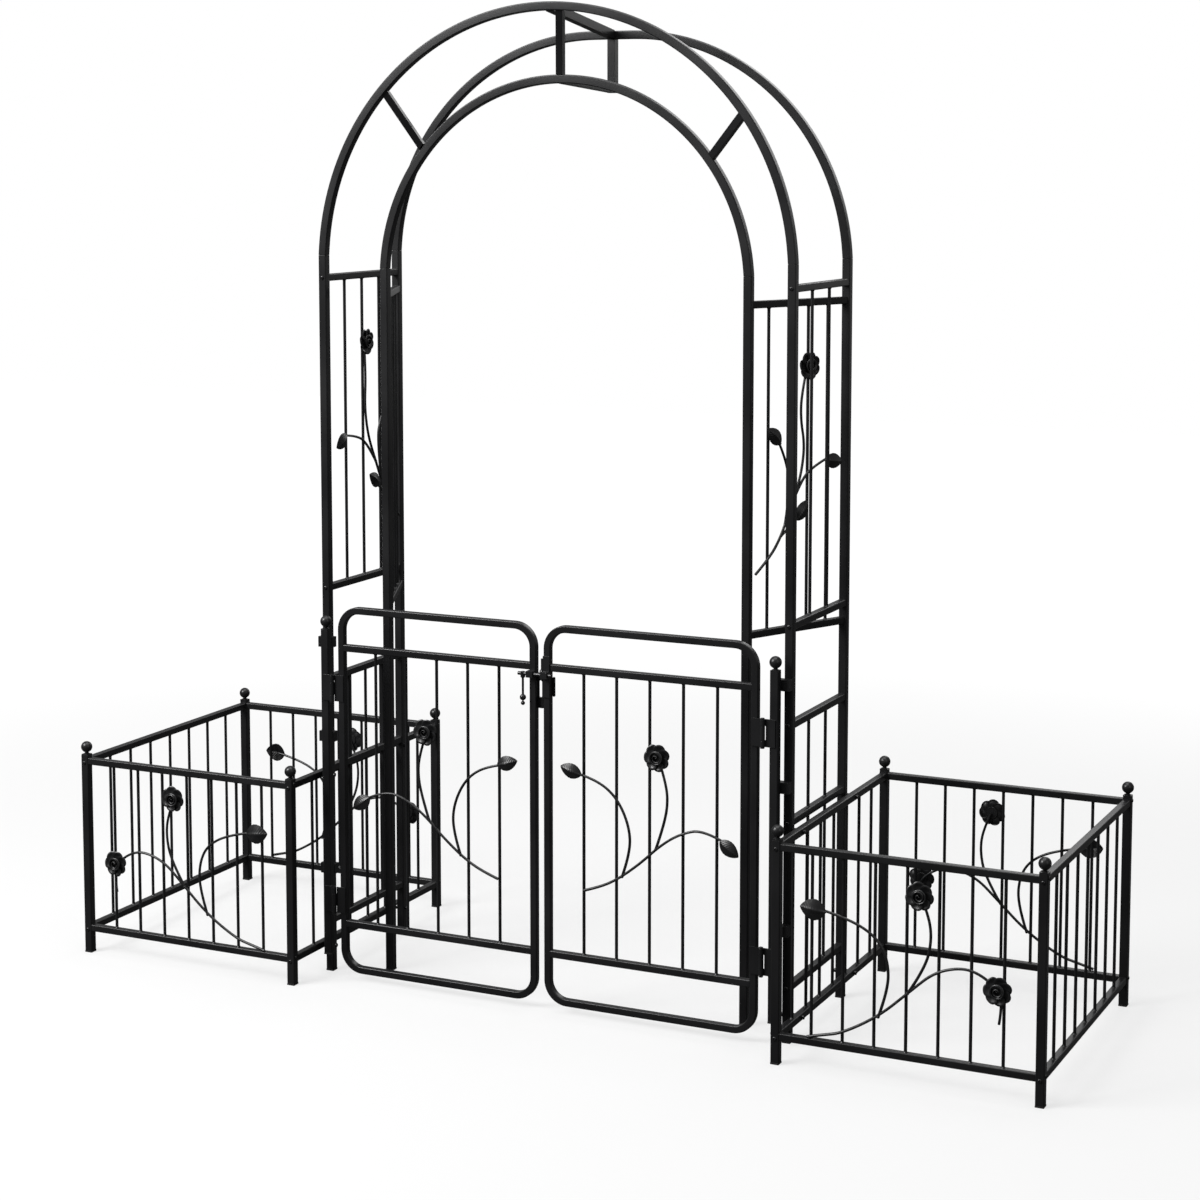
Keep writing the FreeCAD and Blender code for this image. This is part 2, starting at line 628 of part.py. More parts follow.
def rounded_slab(name, side, grow, thickness):
    # A slab with rounded corners, so much larger than the middle line of the gate's tube.
    body = doc.addObject("PartDesign::Body", name)
    x = sided(side, f"gate_meeting_half - {grow}", f"gate_hinge_half + {grow}")
    z = (f"gate_bottom - {grow}", f"gate_top + {grow}")
    y = (f"gate_line - ({thickness}) / 2", f"gate_line + ({thickness}) / 2")
    box = body.newObject("PartDesign::AdditiveBox", f"{name}_box")
    bind(box, Length=span(*x), Width=span(*y), Height=span(*z))
    stand(box, x[0], y[0], z[0])
    doc.recompute()
    bend = body.newObject("PartDesign::Fillet", f"{name}_bends")
    bend.Base = (box, edges_along_y(box.Shape))
    bind(bend, Radius=f"gate_bend + {grow}")
    return body


def bent_loop(name, side, thickness):
    # A rounded loop of solid square section about the middle line.
    outside = rounded_slab(f"{name}_outside", side, f"({thickness}) / 2", thickness)
    inside = rounded_slab(f"{name}_inside", side, f"-1 * ({thickness}) / 2", thickness)
    return cut(name, outside, inside)


def make_gate_frame(word, side):
    name = f"gate_frame_{word}"
    middle = "(gate_meeting_half + gate_hinge_half) / 2"
    whole = bent_loop(f"{name}_whole", side, "gate_tube")
    hollow = bent_loop(f"{name}_hollow", side, "gate_tube - 2 * tube_wall")
    drain = rod(f"{name}_drain", "z", "drain_radius", ("gate_bottom - gate_tube", "gate_bottom"),
                (at_side(side, middle), "gate_line"))
    node(name, cut(name, whole, hollow, drain))


def make_gate_infill(word, side):
    name = f"gate_infill_{word}"
    clear = sided(side, "gate_meeting_half + gate_tube / 2", "gate_hinge_half - gate_tube / 2")
    node(name, panel(name, "x", clear, "gate_line", ("gate_rail_high", "gate_rail_low"),
                     shares(int(size("gate_bars")))))


HINGES = ("hinge_high", "hinge_low")


def make_hinges(word, side):
    axis = (at_side(side, "hinge_axis"), "hinge_line")
    plate_line = ("gate_face - hinge_plate", "gate_face")
    fixed = []
    straps = []
    pins = []
    for height in HINGES:
        low = f"{height} - hinge_height / 2"
        high = f"{height} + hinge_height / 2"
        end_knuckles = ((low, f"{low} + knuckle_end"), (f"{high} - knuckle_end", high))
        middle_knuckle = (f"{low} + knuckle_end + knuckle_gap", f"{high} - knuckle_end - knuckle_gap")
        clear = "barrel_radius + knuckle_gap"
        name = f"{height}_fixed_{word}"
        parts = [block(f"{name}_plate", sided(side, f"hinge_axis + {clear}", "post_side + hinge_overlap"),
                       plate_line, (low, high))]
        for number, knuckle in enumerate(end_knuckles):
            parts.append(rod(f"{name}_knuckle{number}", "z", "barrel_radius", knuckle, axis))
            parts.append(block(f"{name}_wing{number}", sided(side, "hinge_axis", f"hinge_axis + {clear}"),
                               plate_line, knuckle))
        bore = rod(f"{name}_bore", "z", "pin_radius", (low, high), axis)
        fixed.append(cut(name, fuse(f"{name}_solid", parts), bore))
        name = f"{height}_strap_{word}"
        parts = [block(f"{name}_plate", sided(side, "stile_side - hinge_overlap", f"hinge_axis - {clear}"),
                       plate_line, (low, high)),
                 rod(f"{name}_knuckle", "z", "barrel_radius", middle_knuckle, axis),
                 block(f"{name}_wing", sided(side, f"hinge_axis - {clear}", "hinge_axis"),
                       plate_line, middle_knuckle)]
        bore = rod(f"{name}_bore", "z", "pin_radius + pin_play", (low, high), axis)
        straps.append(cut(name, fuse(f"{name}_solid", parts), bore))
        name = f"{height}_pin_{word}"
        pins.append(fuse(name, [
            rod(f"{name}_shank", "z", "pin_radius", (low, high), axis),
            rod(f"{name}_foot", "z", "head_radius", (f"{low} - pin_head", low), axis),
            rod(f"{name}_head", "z", "head_radius", (high, f"{high} + pin_head"), axis)]))
    node(f"hinge_brackets_{word}", group(f"hinge_brackets_{word}", fixed))
    node(f"hinge_straps_{word}", group(f"hinge_straps_{word}", straps))
    return pins


# Latch: a round bolt in a guide on the left gate, and its keeper on the right gate.

STILE_OUTSIDE = "gate_meeting_half + gate_tube / 2"
PLATE_LINE = ("gate_face - latch_plate", "gate_face")


def round_ended(name, x, y, z):
    # An upright strip whose ends are half round.
    width = span(*x)
    middle = f"(({x[0]}) + ({x[1]})) / 2"
    ends = [rod(f"{name}_end{number}", "y", f"({width}) / 2", y, (middle, height))
            for number, height in enumerate((f"{z[0]} + ({width}) / 2", f"{z[1]} - ({width}) / 2"))]
    middle_part = block(f"{name}_middle", x, y, (f"{z[0]} + ({width}) / 2", f"{z[1]} - ({width}) / 2"))
    return fuse(name, [middle_part, *ends])


def bored_block(label, side, parts=()):
    # The block that holds the bolt, joined to the other parts and bored through.
    holder = block(f"{label}_block", sided(side, "meeting_side", STILE_OUTSIDE),
                   ("gate_face - latch_plate - latch_block", "gate_face"),
                   ("latch_height - latch_block / 2", "latch_height + latch_block / 2"))
    bore = rod(f"{label}_bore", "x", "latch_radius + latch_play", ("-gate_hinge_half", "gate_hinge_half"),
               ("latch_line", "latch_height"))
    return cut(f"{label}_bored", fuse(f"{label}_solid", [holder, *parts]) if parts else holder, bore)


def make_guide():
    # Beside the left stile, a slotted stop plate covers the gap between the gates.
    across = ("-(meeting_side)", "stop_width - (meeting_side)")
    deep = ("gate_line + gate_tube / 2 - stop_plate", "gate_line + gate_tube / 2")
    plate = block("stop_whole", across, deep, ("latch_height - stop_fall", "latch_height"))
    inset = "(stop_width - slot_width) / 2"
    slot = round_ended("stop_slot", (f"{across[0]} + {inset}", f"{across[1]} - {inset}"), deep,
                       ("latch_height - slot_low", "latch_height - slot_high"))
    node("latch_guide", group("latch_guide", [bored_block("latch_guide", -1), cut("gate_stop", plate, slot)]))


def make_keeper():
    # A tall plate with a lip and an eyelet, and a strap on the far side of the right stile.
    plate = block("keeper_plate", ("meeting_side", STILE_OUTSIDE), PLATE_LINE,
                  ("latch_height - keeper_fall", "latch_height + keeper_rise"))
    foot = "latch_height + latch_block / 2"
    lip = block("keeper_lip_plate", ("meeting_side - keeper_lip", "meeting_side"), PLATE_LINE,
                (foot, "latch_height + keeper_rise - lip_setback"))
    eye = ("meeting_side - keeper_lip", foot)
    boss = rod("keeper_boss", "y", "eyelet_radius", PLATE_LINE, eye)
    whole = bored_block("latch_keeper", 1, [plate, lip, boss])
    holed = cut("keeper_holed", whole, rod("keeper_eyelet", "y", "eyelet_hole", PLATE_LINE, eye))
    strap = round_ended("keeper_strap", (STILE_OUTSIDE, f"{STILE_OUTSIDE} + strap_width"),
                        ("gate_line + gate_tube / 2 - strap_plate", "gate_line + gate_tube / 2"),
                        ("latch_height - keeper_fall", "latch_height - latch_block / 2"))
    node("latch_keeper", group("latch_keeper", [holed, strap]))


def make_latch():
    make_guide()
    make_keeper()
    nose = f"{STILE_OUTSIDE} + latch_reach"
    tail = f"{nose} - latch_length"
    handle = f"{tail} + handle_inset"
    parts = [rod("latch_rod", "x", "latch_radius", (tail, nose), ("latch_line", "latch_height")),
             rod("latch_handle", "z", "handle_radius",
                 ("latch_height - handle_drop - bud_drop", "latch_height"), (handle, "latch_line"))]
    for name, radius, drop in (("latch_knob", "knob_radius", "handle_drop"),
                               ("latch_bud", "bud_radius", "handle_drop - bud_drop")):
        ball = doc.addObject("Part::Sphere", name)
        bind(ball, Radius=radius)
        parts.append(stand(ball, handle, "latch_line", f"latch_height - {drop}"))
    node("latch_bolt", fuse("latch_bolt", parts))


# Screws through the posts into the rails, and bolts between planters and arch.

def turned_pin(profile, point, direction):
    # Turns a profile of (along, radius) points about a line.
    steps = [FreeCAD.Vector(radius, 0, along) for along, radius in profile]
    face = Part.Face(Part.makePolygon(steps + [steps[0]]))
    solid = face.revolve(FreeCAD.Vector(), FreeCAD.Vector(0, 0, 1), 360)
    solid.Placement = FreeCAD.Placement(point, FreeCAD.Rotation(FreeCAD.Vector(0, 0, 1), direction))
    return solid


def solids(label, shapes):
    piece = doc.addObject("Part::Feature", label)
    piece.Shape = Part.makeCompound(shapes)
    return node(label, piece)


def screw(point, direction, reach):
    # point is where the head meets the post, and direction points into it.
    head, rise = size("head_radius"), size("head_height")
    shank = size("screw_radius")
    profile = [(-rise, 0), (-rise, head * 0.6), (-rise * 0.5, head * 0.92), (0, head),
               (0, shank), (reach, shank), (reach, 0)]
    return turned_pin(profile, point, direction)


def make_screws():
    half = size("post_tube") / 2
    through = size("post_tube") + size("screw_reach")
    shapes = []
    for _, side in SIDES:
        x = side * size("arch_half")
        for line, way in ((size("arch_front"), 1), (size("arch_back"), -1)):
            for rail in SIDE_RAILS:
                point = FreeCAD.Vector(x, line - way * half, size(rail))
                shapes.append(screw(point, FreeCAD.Vector(0, way, 0), through))
        for height in BRACKETS:
            point = FreeCAD.Vector(x, size("arch_front") + half, size(height))
            shapes.append(screw(point, FreeCAD.Vector(0, -1, 0), through))
        for place, out in ((size("planter_inner"), -1), (size("planter_outer"), 1)):
            for line, back in ((-size("planter_half"), -1), (size("planter_half"), 1)):
                for rail in PLANTER_RAILS:
                    point = FreeCAD.Vector(side * (place + out * half), line, size(rail) + size("screw_step"))
                    shapes.append(screw(point, FreeCAD.Vector(-side * out, 0, 0), through))
                    point = FreeCAD.Vector(side * place, line + back * half, size(rail) - size("screw_step"))
                    shapes.append(screw(point, FreeCAD.Vector(0, -back, 0), through))
    solids("panel_screws", shapes)


def make_planter_bolts():
    # Each bolt runs from inside the planter through its rail, a spacer ring and the arch post.
    start = size("planter_inner") + size("rail_tube") / 2
    end = size("arch_half") - size("post_tube") / 2
    gap = size("planter_inner") - size("rail_tube") / 2 - size("arch_half") - size("post_tube") / 2
    head, tall, shank = size("head_radius"), size("nut_height"), size("bolt_radius")
    ring = size("spacer_radius")
    length = start - end
    profile = [(-tall, 0), (-tall, head), (0, head), (0, shank), (length, shank), (length, head),
               (length + tall, head), (length + tall, 0)]
    bore = shank + size("screw_play")
    shapes = []
    for _, side in SIDES:
        inward = FreeCAD.Vector(-side, 0, 0)
        for line in (size("arch_front"), size("arch_back")):
            for rail in PLANTER_RAILS:
                shapes.append(turned_pin(profile, FreeCAD.Vector(side * start, line, size(rail)), inward))
                point = FreeCAD.Vector(side * (start - size("rail_tube")), line, size(rail))
                shapes.append(turned_pin([(0, bore), (0, ring), (gap, ring), (gap, bore)], point, inward))
    solids("planter_bolts", shapes)


# Flower work: bent stems with roses and leaves. Each layout is a flat drawing whose
# points are (across, up) from a corner of its panel.

def bent_rod(points, radius):
    # Straight runs joined by tangent arcs, swept with a round section.
    here = [FreeCAD.Vector(x, 0, z) for x, z in points]
    edges = []
    start = here[0]
    for before, corner, after in zip(here, here[1:], here[2:]):
        to_before = before.sub(corner)
        to_after = after.sub(corner)
        half_turn = (math.pi - to_before.getAngle(to_after)) / 2
        if half_turn < 0.01:
            continue
        reach = 0.45 * min(to_before.Length, to_after.Length)
        bend = reach / math.tan(half_turn)
        to_before.normalize()
        to_after.normalize()
        first = corner + to_before * reach
        last = corner + to_after * reach
        bisector = (to_before + to_after).normalize()
        centre = corner + bisector * math.hypot(bend, reach)
        middle = centre - bisector * bend
        edges.append(Part.LineSegment(start, first).toShape())
        edges.append(Part.Arc(first, middle, last).toShape())
        start = last
    edges.append(Part.LineSegment(start, here[-1]).toShape())
    path = Part.Wire(edges)
    ring = Part.Wire([Part.makeCircle(radius, here[0], here[1].sub(here[0]))])
    return path.makePipeShell([ring], True, False)


def rose_shape(x, z, facing):
    # Three rings of round petals over each other and a bud, towards the viewer of the panel.
    whole, deep = size("rose_radius"), size("rose_depth")
    back = -size("stem_radius") - size("weld_gap")
    out = FreeCAD.Vector(0, -1, 0)
    pieces = []
    for petals, petal, far, low, high in ((8, 0.36, 0.64, 0, 0.34), (6, 0.29, 0.42, 0.2, 0.62),
                                          (3, 0.2, 0.2, 0.5, 0.82)):
        for number in range(petals):
            angle = 2 * math.pi * number / petals + facing
            centre = FreeCAD.Vector(x + whole * far * math.cos(angle), back - deep * low,
                                    z + whole * far * math.sin(angle))
            pieces.append(Part.makeCylinder(whole * petal, deep * (high - low), centre, out))
        pieces.append(Part.makeCylinder(whole * far, deep * (high - low),
                                        FreeCAD.Vector(x, back - deep * low, z), out))
    pieces.append(Part.makeSphere(deep * 0.36, FreeCAD.Vector(x, back - deep * 0.64, z)))
    return pieces[0].fuse(pieces[1:])


def leaf_shape(x, z, angle):
    # The base of the leaf is at (x, z), and its tip points along the angle, in degrees.
    length, half = size("leaf_length"), size("leaf_width") / 2
    back = -size("stem_radius") - size("weld_gap")
    base = FreeCAD.Vector(0, back, 0)
    tip = FreeCAD.Vector(length, back, 0)
    upper = Part.Arc(base, FreeCAD.Vector(length * 0.45, back, half), tip).toShape()
    lower = Part.Arc(tip, FreeCAD.Vector(length * 0.45, back, -half), base).toShape()
    blade = Part.Face(Part.Wire([upper, lower])).extrude(FreeCAD.Vector(0, -size("leaf_sheet"), 0))
    rib = Part.makeCylinder(size("leaf_rib"), length * 0.8,
                            FreeCAD.Vector(length * 0.06, back - size("leaf_sheet"), 0), FreeCAD.Vector(1, 0, 0))
    leaf = blade.fuse(rib)
    leaf.Placement = FreeCAD.Placement(FreeCAD.Vector(x, 0, z),
                                       FreeCAD.Rotation(FreeCAD.Vector(0, 1, 0), -angle))
    return leaf


GATE_WORK = {
    "stems": [
        [(88, 286), (128, 299), (172, 322), (226, 364), (272, 408), (318, 439), (366, 450), (428, 430)],
        [(262, 399), (282, 456), (291, 510), (283, 556), (267, 602)],
        [(182, 329), (202, 385), (199, 444), (168, 505), (118, 538), (74, 546)],
    ],
    "roses": [(267, 602)],
    "leaves": [(86, 545, 163), (414, 437, -36)],
}
PLANTER_WORK = {
    "stems": [
        [(71, 71), (106, 80), (148, 90), (228, 138), (296, 202), (344, 246), (400, 264), (440, 256), (478, 228),
         (486, 196), (480, 158)],
        [(288, 194), (325, 252), (338, 312), (331, 362), (313, 401)],
        [(226, 136), (247, 196), (246, 256), (222, 302), (162, 333), (98, 345)],
    ],
    "roses": [(478, 228), (313, 401)],
    "leaves": [(112, 342, 174)],
}
SIDE_WORK = {
    "stems": [
        [(12, 128), (54, 167), (88, 211), (118, 269), (153, 333), (167, 404), (160, 475), (167, 555)],
        [(93, 221), (108, 304), (103, 362), (70, 396)],
        [(118, 269), (156, 314), (201, 338), (262, 344)],
        [(64, 180), (94, 202), (126, 222)],
    ],
    "roses": [(167, 555)],
    "leaves": [(74, 392, 147), (256, 345, -30), (112, 213, 34)],
}
INNER_WORK = {
    "stems": [
        [(18, 131), (60, 164), (90, 202), (112, 248), (138, 300), (155, 352), (161, 404), (149, 458), (151, 512),
         (168, 573)],
        [(131, 286), (152, 322), (182, 349), (228, 366)],
        [(105, 234), (118, 300), (110, 366), (84, 412)],
        [(93, 208), (116, 222), (142, 248)],
    ],
    "roses": [(168, 573)],
    "leaves": [(86, 409, 138), (219, 364, -8), (134, 239, 51)],
}


def flower_work(name, work, flip):
    # flip of -1 mirrors the layout. The stems are one welded piece.
    stems = [bent_rod([(flip * x, z) for x, z in points], size("stem_radius")) for points in work["stems"]]
    vine = doc.addObject("Part::Feature", f"{name}_vine")
    vine.Shape = stems[0].fuse(stems[1:])
    shapes = [rose_shape(flip * x, z, 0.2 * flip) for x, z in work["roses"]]
    for x, z, angle in work["leaves"]:
        shapes.append(leaf_shape(flip * x, z, angle if flip > 0 else 180 - angle))
    flowers = doc.addObject("Part::Feature", f"{name}_flowers")
    flowers.Shape = Part.makeCompound(shapes)
    return vine, flowers


def hang(piece, turn, x, y, z):
    piece.Placement = FreeCAD.Placement(FreeCAD.Vector(), FreeCAD.Rotation(FreeCAD.Vector(0, 0, 1), turn))
    return stand(piece, x, y, z)


def make_flower_work():
    before_bar = "bar_radius + stem_radius + weld_gap"
    for word, side in SIDES:
        vine, flowers = flower_work(f"gate_{word}", GATE_WORK, side)
        place = (at_side(side, "gate_meeting_half"), f"gate_line - ({before_bar})", "0")
        node(f"gate_vine_{word}", hang(vine, 0, *place))
        node(f"gate_flowers_{word}", hang(flowers, 0, *place))
        vines = []
        flowers = []
        for key, turn, x, y in (("front", 0, "planter_inner", f"-planter_half - ({before_bar})"),
                                ("back", 180, "planter_outer", f"planter_half + {before_bar}")):
            pair = flower_work(f"planter_{key}_{word}", PLANTER_WORK, side)
            vines.append(hang(pair[0], turn, at_side(side, x), y, "0"))
            flowers.append(hang(pair[1], turn, at_side(side, x), y, "0"))
        node(f"planter_vines_{word}", group(f"planter_vines_{word}", vines))
        node(f"planter_flowers_{word}", group(f"planter_flowers_{word}", flowers))
    # On the left the work hangs before the side trellis, and on the right before the inner trellis.
    aslant = math.atan2(size("arch_back") - size("inner_line"), size("arch_half") - size("inner_half"))
    side_place = (f"-(arch_half - ({before_bar}))", "arch_back", "trellis_bottom")
    inner_place = (f"inner_half + ({before_bar}) * {math.sin(aslant)}",
                   f"inner_line - ({before_bar}) * {math.cos(aslant)}", "trellis_bottom - trellis_drop")
    for word, work, flip, turn, place in (("left", SIDE_WORK, -1, 90, side_place),
                                          ("right", INNER_WORK, 1, math.degrees(aslant), inner_place)):
        vine, flowers = flower_work(f"trellis_{word}", work, flip)
        node(f"trellis_vine_{word}", hang(vine, turn, *place))
        node(f"trellis_flowers_{word}", hang(flowers, turn, *place))


make_posts()
make_arches()
make_spacers()
make_apex()
make_side_panels()
make_inner_trellises()
make_planter_panels()
make_ends()
make_brackets()
hinge_pins = []
for side_word, side_sign in SIDES:
    make_gate_frame(side_word, side_sign)
    make_gate_infill(side_word, side_sign)
    hinge_pins += make_hinges(side_word, side_sign)
node("hinge_pins", group("hinge_pins", hinge_pins))
make_latch()
make_screws()
make_planter_bolts()
make_flower_work()
doc.recompute()

faults = [f"{item.Name}: {item.State}" for item in doc.Objects
          if "Invalid" in item.State or "Error" in item.State]
for piece in NODES:
    if piece.Shape.isNull() or not piece.Shape.isValid() or not piece.Shape.Solids:
        faults.append(f"{piece.Label}: bad shape")
if faults:
    raise SystemExit("\n".join(faults))

os.makedirs("parts", exist_ok=True)
for piece in NODES:
    piece.Shape.exportStep(f"parts/{piece.Label}.step")
    box = piece.Shape.BoundBox
    print(f"{piece.Label}: {len(piece.Shape.Solids)} solids, {piece.Shape.Volume / 1000:.1f} cm3, "
          f"x {box.XMin:.1f} {box.XMax:.1f}, y {box.YMin:.1f} {box.YMax:.1f}, z {box.ZMin:.1f} {box.ZMax:.1f}")
print(len(NODES), "nodes")
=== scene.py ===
import json
import math

import bmesh
import bpy
from mathutils import Matrix, Vector


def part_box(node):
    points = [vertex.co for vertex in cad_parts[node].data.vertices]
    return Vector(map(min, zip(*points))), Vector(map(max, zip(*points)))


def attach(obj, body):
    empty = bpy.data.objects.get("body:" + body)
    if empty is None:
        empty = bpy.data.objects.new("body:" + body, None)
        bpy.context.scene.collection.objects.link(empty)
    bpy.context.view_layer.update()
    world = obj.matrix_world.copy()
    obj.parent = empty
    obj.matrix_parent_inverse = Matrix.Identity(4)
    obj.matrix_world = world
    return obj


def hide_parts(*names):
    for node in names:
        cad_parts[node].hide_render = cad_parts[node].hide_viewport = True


# A garden arch with a double gate between two planter boxes, dressed around its frame.
# Lengths are in metres, and mm turns a size in millimetres into them.

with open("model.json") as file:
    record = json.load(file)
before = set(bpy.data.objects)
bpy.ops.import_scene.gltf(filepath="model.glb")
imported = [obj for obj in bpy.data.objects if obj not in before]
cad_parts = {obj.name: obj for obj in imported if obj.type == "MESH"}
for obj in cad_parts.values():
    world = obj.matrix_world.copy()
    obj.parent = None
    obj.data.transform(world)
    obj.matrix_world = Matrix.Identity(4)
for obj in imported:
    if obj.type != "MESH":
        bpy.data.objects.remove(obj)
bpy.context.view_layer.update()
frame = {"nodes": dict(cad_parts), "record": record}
record = frame["record"]
bodyOf = {node: body for body, nodes in record["behaviour"]["bodies"].items() for node in nodes}
slotOf = {part["node"]: part["material_slot"] for part in record["subparts"]}
mm = 0.001
sides = (("left", -1), ("right", 1))


# Small helpers

def addNode(tree, kind, settings=None, inputs=None):
    # An input is a plain value, or a socket to link from.
    node = tree.nodes.new(kind)
    for name, value in (settings or {}).items():
        setattr(node, name, value)
    for name, value in (inputs or {}).items():
        if isinstance(value, bpy.types.NodeSocket):
            tree.links.new(value, node.inputs[name])
        else:
            node.inputs[name].default_value = value
    return node


def linear(hexColour):
    shares = [int(hexColour[start:start + 2], 16) / 255 for start in (1, 3, 5)]
    return [*(s / 12.92 if s <= 0.04045 else ((s + 0.055) / 1.055) ** 2.4 for s in shares), 1.0]


def place(name, data):
    piece = bpy.data.objects.new(name, data)
    bpy.context.scene.collection.objects.link(piece)
    return piece


def plainMesh(piece):
    # What a piece's modifiers make of it. The piece itself is used up.
    graph = bpy.context.evaluated_depsgraph_get()
    mesh = bpy.data.meshes.new_from_object(piece.evaluated_get(graph))
    bpy.data.objects.remove(piece)
    return mesh


def meshOf(points, edges=(), faces=()):
    mesh = bpy.data.meshes.new("outline")
    mesh.from_pydata([tuple(point) for point in points], edges, faces)
    return mesh


def moved(mesh, matrix):
    mesh.transform(matrix)
    if matrix.to_3x3().determinant() < 0:
        mesh.flip_normals()
    return mesh


def pieceName(node):
    first, *rest = node.split("_")
    return first + "".join(word.capitalize() for word in rest)


# Materials

coatLook = {
    "tube": {"dark": "#101011", "pale": "#181819", "cloud": 160 * mm, "peel": 6 * mm, "rise": 0.006 * mm,
             "smooth": 0.28, "rough": 0.36, "sheen": 0.30},
    "flower": {"dark": "#0d0d0e", "pale": "#161617", "cloud": 18 * mm, "peel": 3 * mm, "rise": 0.01 * mm,
               "smooth": 0.32, "rough": 0.40, "sheen": 0.42},
    "fastener": {"dark": "#0d0d0e", "pale": "#141415", "cloud": 12 * mm, "peel": 1.5 * mm, "rise": 0.006 * mm,
                 "smooth": 0.22, "rough": 0.30, "sheen": 0.45},
    "plug": {"dark": "#111111", "pale": "#181818", "cloud": 25 * mm, "peel": 0.8 * mm, "rise": 0.03 * mm,
             "smooth": 0.55, "rough": 0.66, "sheen": 0.3},
}
# What all coats share: detail of the noises, and the parts of the clouds that are all dark or pale, or all
# smooth or rough.
coatRange = {"cloudDetail": 4.0, "peelDetail": 2.0, "darkTo": 0.35, "paleFrom": 0.65, "smoothTo": 0.3,
             "roughFrom": 0.7, "refraction": 1.5}


def coating(name, look):
    # Colour and gloss drift slowly over the surface, and the fine waves are the coat's orange peel.
    material = bpy.data.materials.new(name)
    material.use_nodes = True
    tree = material.node_tree
    tree.nodes.clear()
    where = addNode(tree, "ShaderNodeTexCoord").outputs["Object"]
    cloud = addNode(tree, "ShaderNodeTexNoise", None, {
        "Vector": where, "Scale": 1 / look["cloud"], "Detail": coatRange["cloudDetail"]})
    ramp = addNode(tree, "ShaderNodeValToRGB", None, {"Fac": cloud.outputs["Fac"]})
    ramp.color_ramp.elements[0].position = coatRange["darkTo"]
    ramp.color_ramp.elements[0].color = linear(look["dark"])
    ramp.color_ramp.elements[1].position = coatRange["paleFrom"]
    ramp.color_ramp.elements[1].color = linear(look["pale"])
    gloss = addNode(tree, "ShaderNodeMapRange", None, {
        "Value": cloud.outputs["Fac"], "From Min": coatRange["smoothTo"], "From Max": coatRange["roughFrom"],
        "To Min": look["smooth"], "To Max": look["rough"]})
    peel = addNode(tree, "ShaderNodeTexNoise", None, {
        "Vector": where, "Scale": 1 / look["peel"], "Detail": coatRange["peelDetail"]})
    waves = addNode(tree, "ShaderNodeBump", None, {
        "Height": peel.outputs["Fac"], "Distance": look["rise"], "Strength": 1.0})
    shader = addNode(tree, "ShaderNodeBsdfPrincipled", None, {
        "Base Color": ramp.outputs["Color"], "Roughness": gloss.outputs["Result"],
        "IOR": coatRange["refraction"], "Specular IOR Level": look["sheen"],
        "Normal": waves.outputs["Normal"]})
    addNode(tree, "ShaderNodeOutputMaterial", None, {"Surface": shader.outputs["BSDF"]})
    return material


# Satin polyester powder coat on welded tube: near black, and its soft gloss shows each flat side.
tubeCoat = coating("powderCoatedTube", coatLook["tube"])
# The same coat on cast and pressed flower work, a little duller all over.
flowerCoat = coating("powderCoatedFlowerWork", coatLook["flower"])
# Black electroplated steel: thinner and glossier than powder.
fastenerCoat = coating("blackPlatedSteel", coatLook["fastener"])
# Moulded black polyethylene: dull, with the fine grain of its mould.
plugPlastic = coating("mouldedPolyethylene", coatLook["plug"])
materialOf = {"powder_coat": tubeCoat, "flower_work": flowerCoat, "fasteners": fastenerCoat,
              "foot_plugs": plugPlastic}
for nodeName, nodeObject in frame["nodes"].items():
    nodeObject.data.materials.clear()
    nodeObject.data.materials.append(materialOf[slotOf[nodeName]])
print("materials:", ", ".join(material.name for material in materialOf.values()))


# Trees of Geometry Nodes for what follows a path or repeats

tubeLook = {"corner": 2.4 * mm, "cornerSteps": 3, "endEdge": 0.4 * mm}
weldLook = {"bead": 5.2 * mm, "height": 2.4 * mm, "around": 16}


def startTree(name, sizes):
    tree = bpy.data.node_groups.new(name, "GeometryNodeTree")
    tree.interface.new_socket("Geometry", in_out="INPUT", socket_type="NodeSocketGeometry")
    for label, kind in sizes:
        tree.interface.new_socket(label, in_out="INPUT", socket_type=f"NodeSocket{kind}")
    tree.interface.new_socket("Geometry", in_out="OUTPUT", socket_type="NodeSocketGeometry")
    return tree, addNode(tree, "NodeGroupInput").outputs


def endTree(tree, geometry):
    real = addNode(tree, "GeometryNodeRealizeInstances", None, {"Geometry": geometry})
    addNode(tree, "NodeGroupOutput", None, {"Geometry": real.outputs["Geometry"]})
    return tree


def makeTubeTree():
    # A square tube with rounded corners along the edges of a mesh.
    tree, given = startTree("squareTube", (("Side", "Float"), ("Corner", "Float")))
    path = addNode(tree, "GeometryNodeMeshToCurve", None, {"Mesh": given["Geometry"]})
    square = addNode(tree, "GeometryNodeCurvePrimitiveQuadrilateral", None, {
        "Width": given["Side"], "Height": given["Side"]})
    section = addNode(tree, "GeometryNodeFilletCurve", {"mode": "POLY"}, {
        "Curve": square.outputs["Curve"], "Count": tubeLook["cornerSteps"], "Radius": given["Corner"]})
    tube = addNode(tree, "GeometryNodeCurveToMesh", None, {
        "Curve": path.outputs["Curve"], "Profile Curve": section.outputs["Curve"], "Fill Caps": True})
    return endTree(tree, tube.outputs["Mesh"])


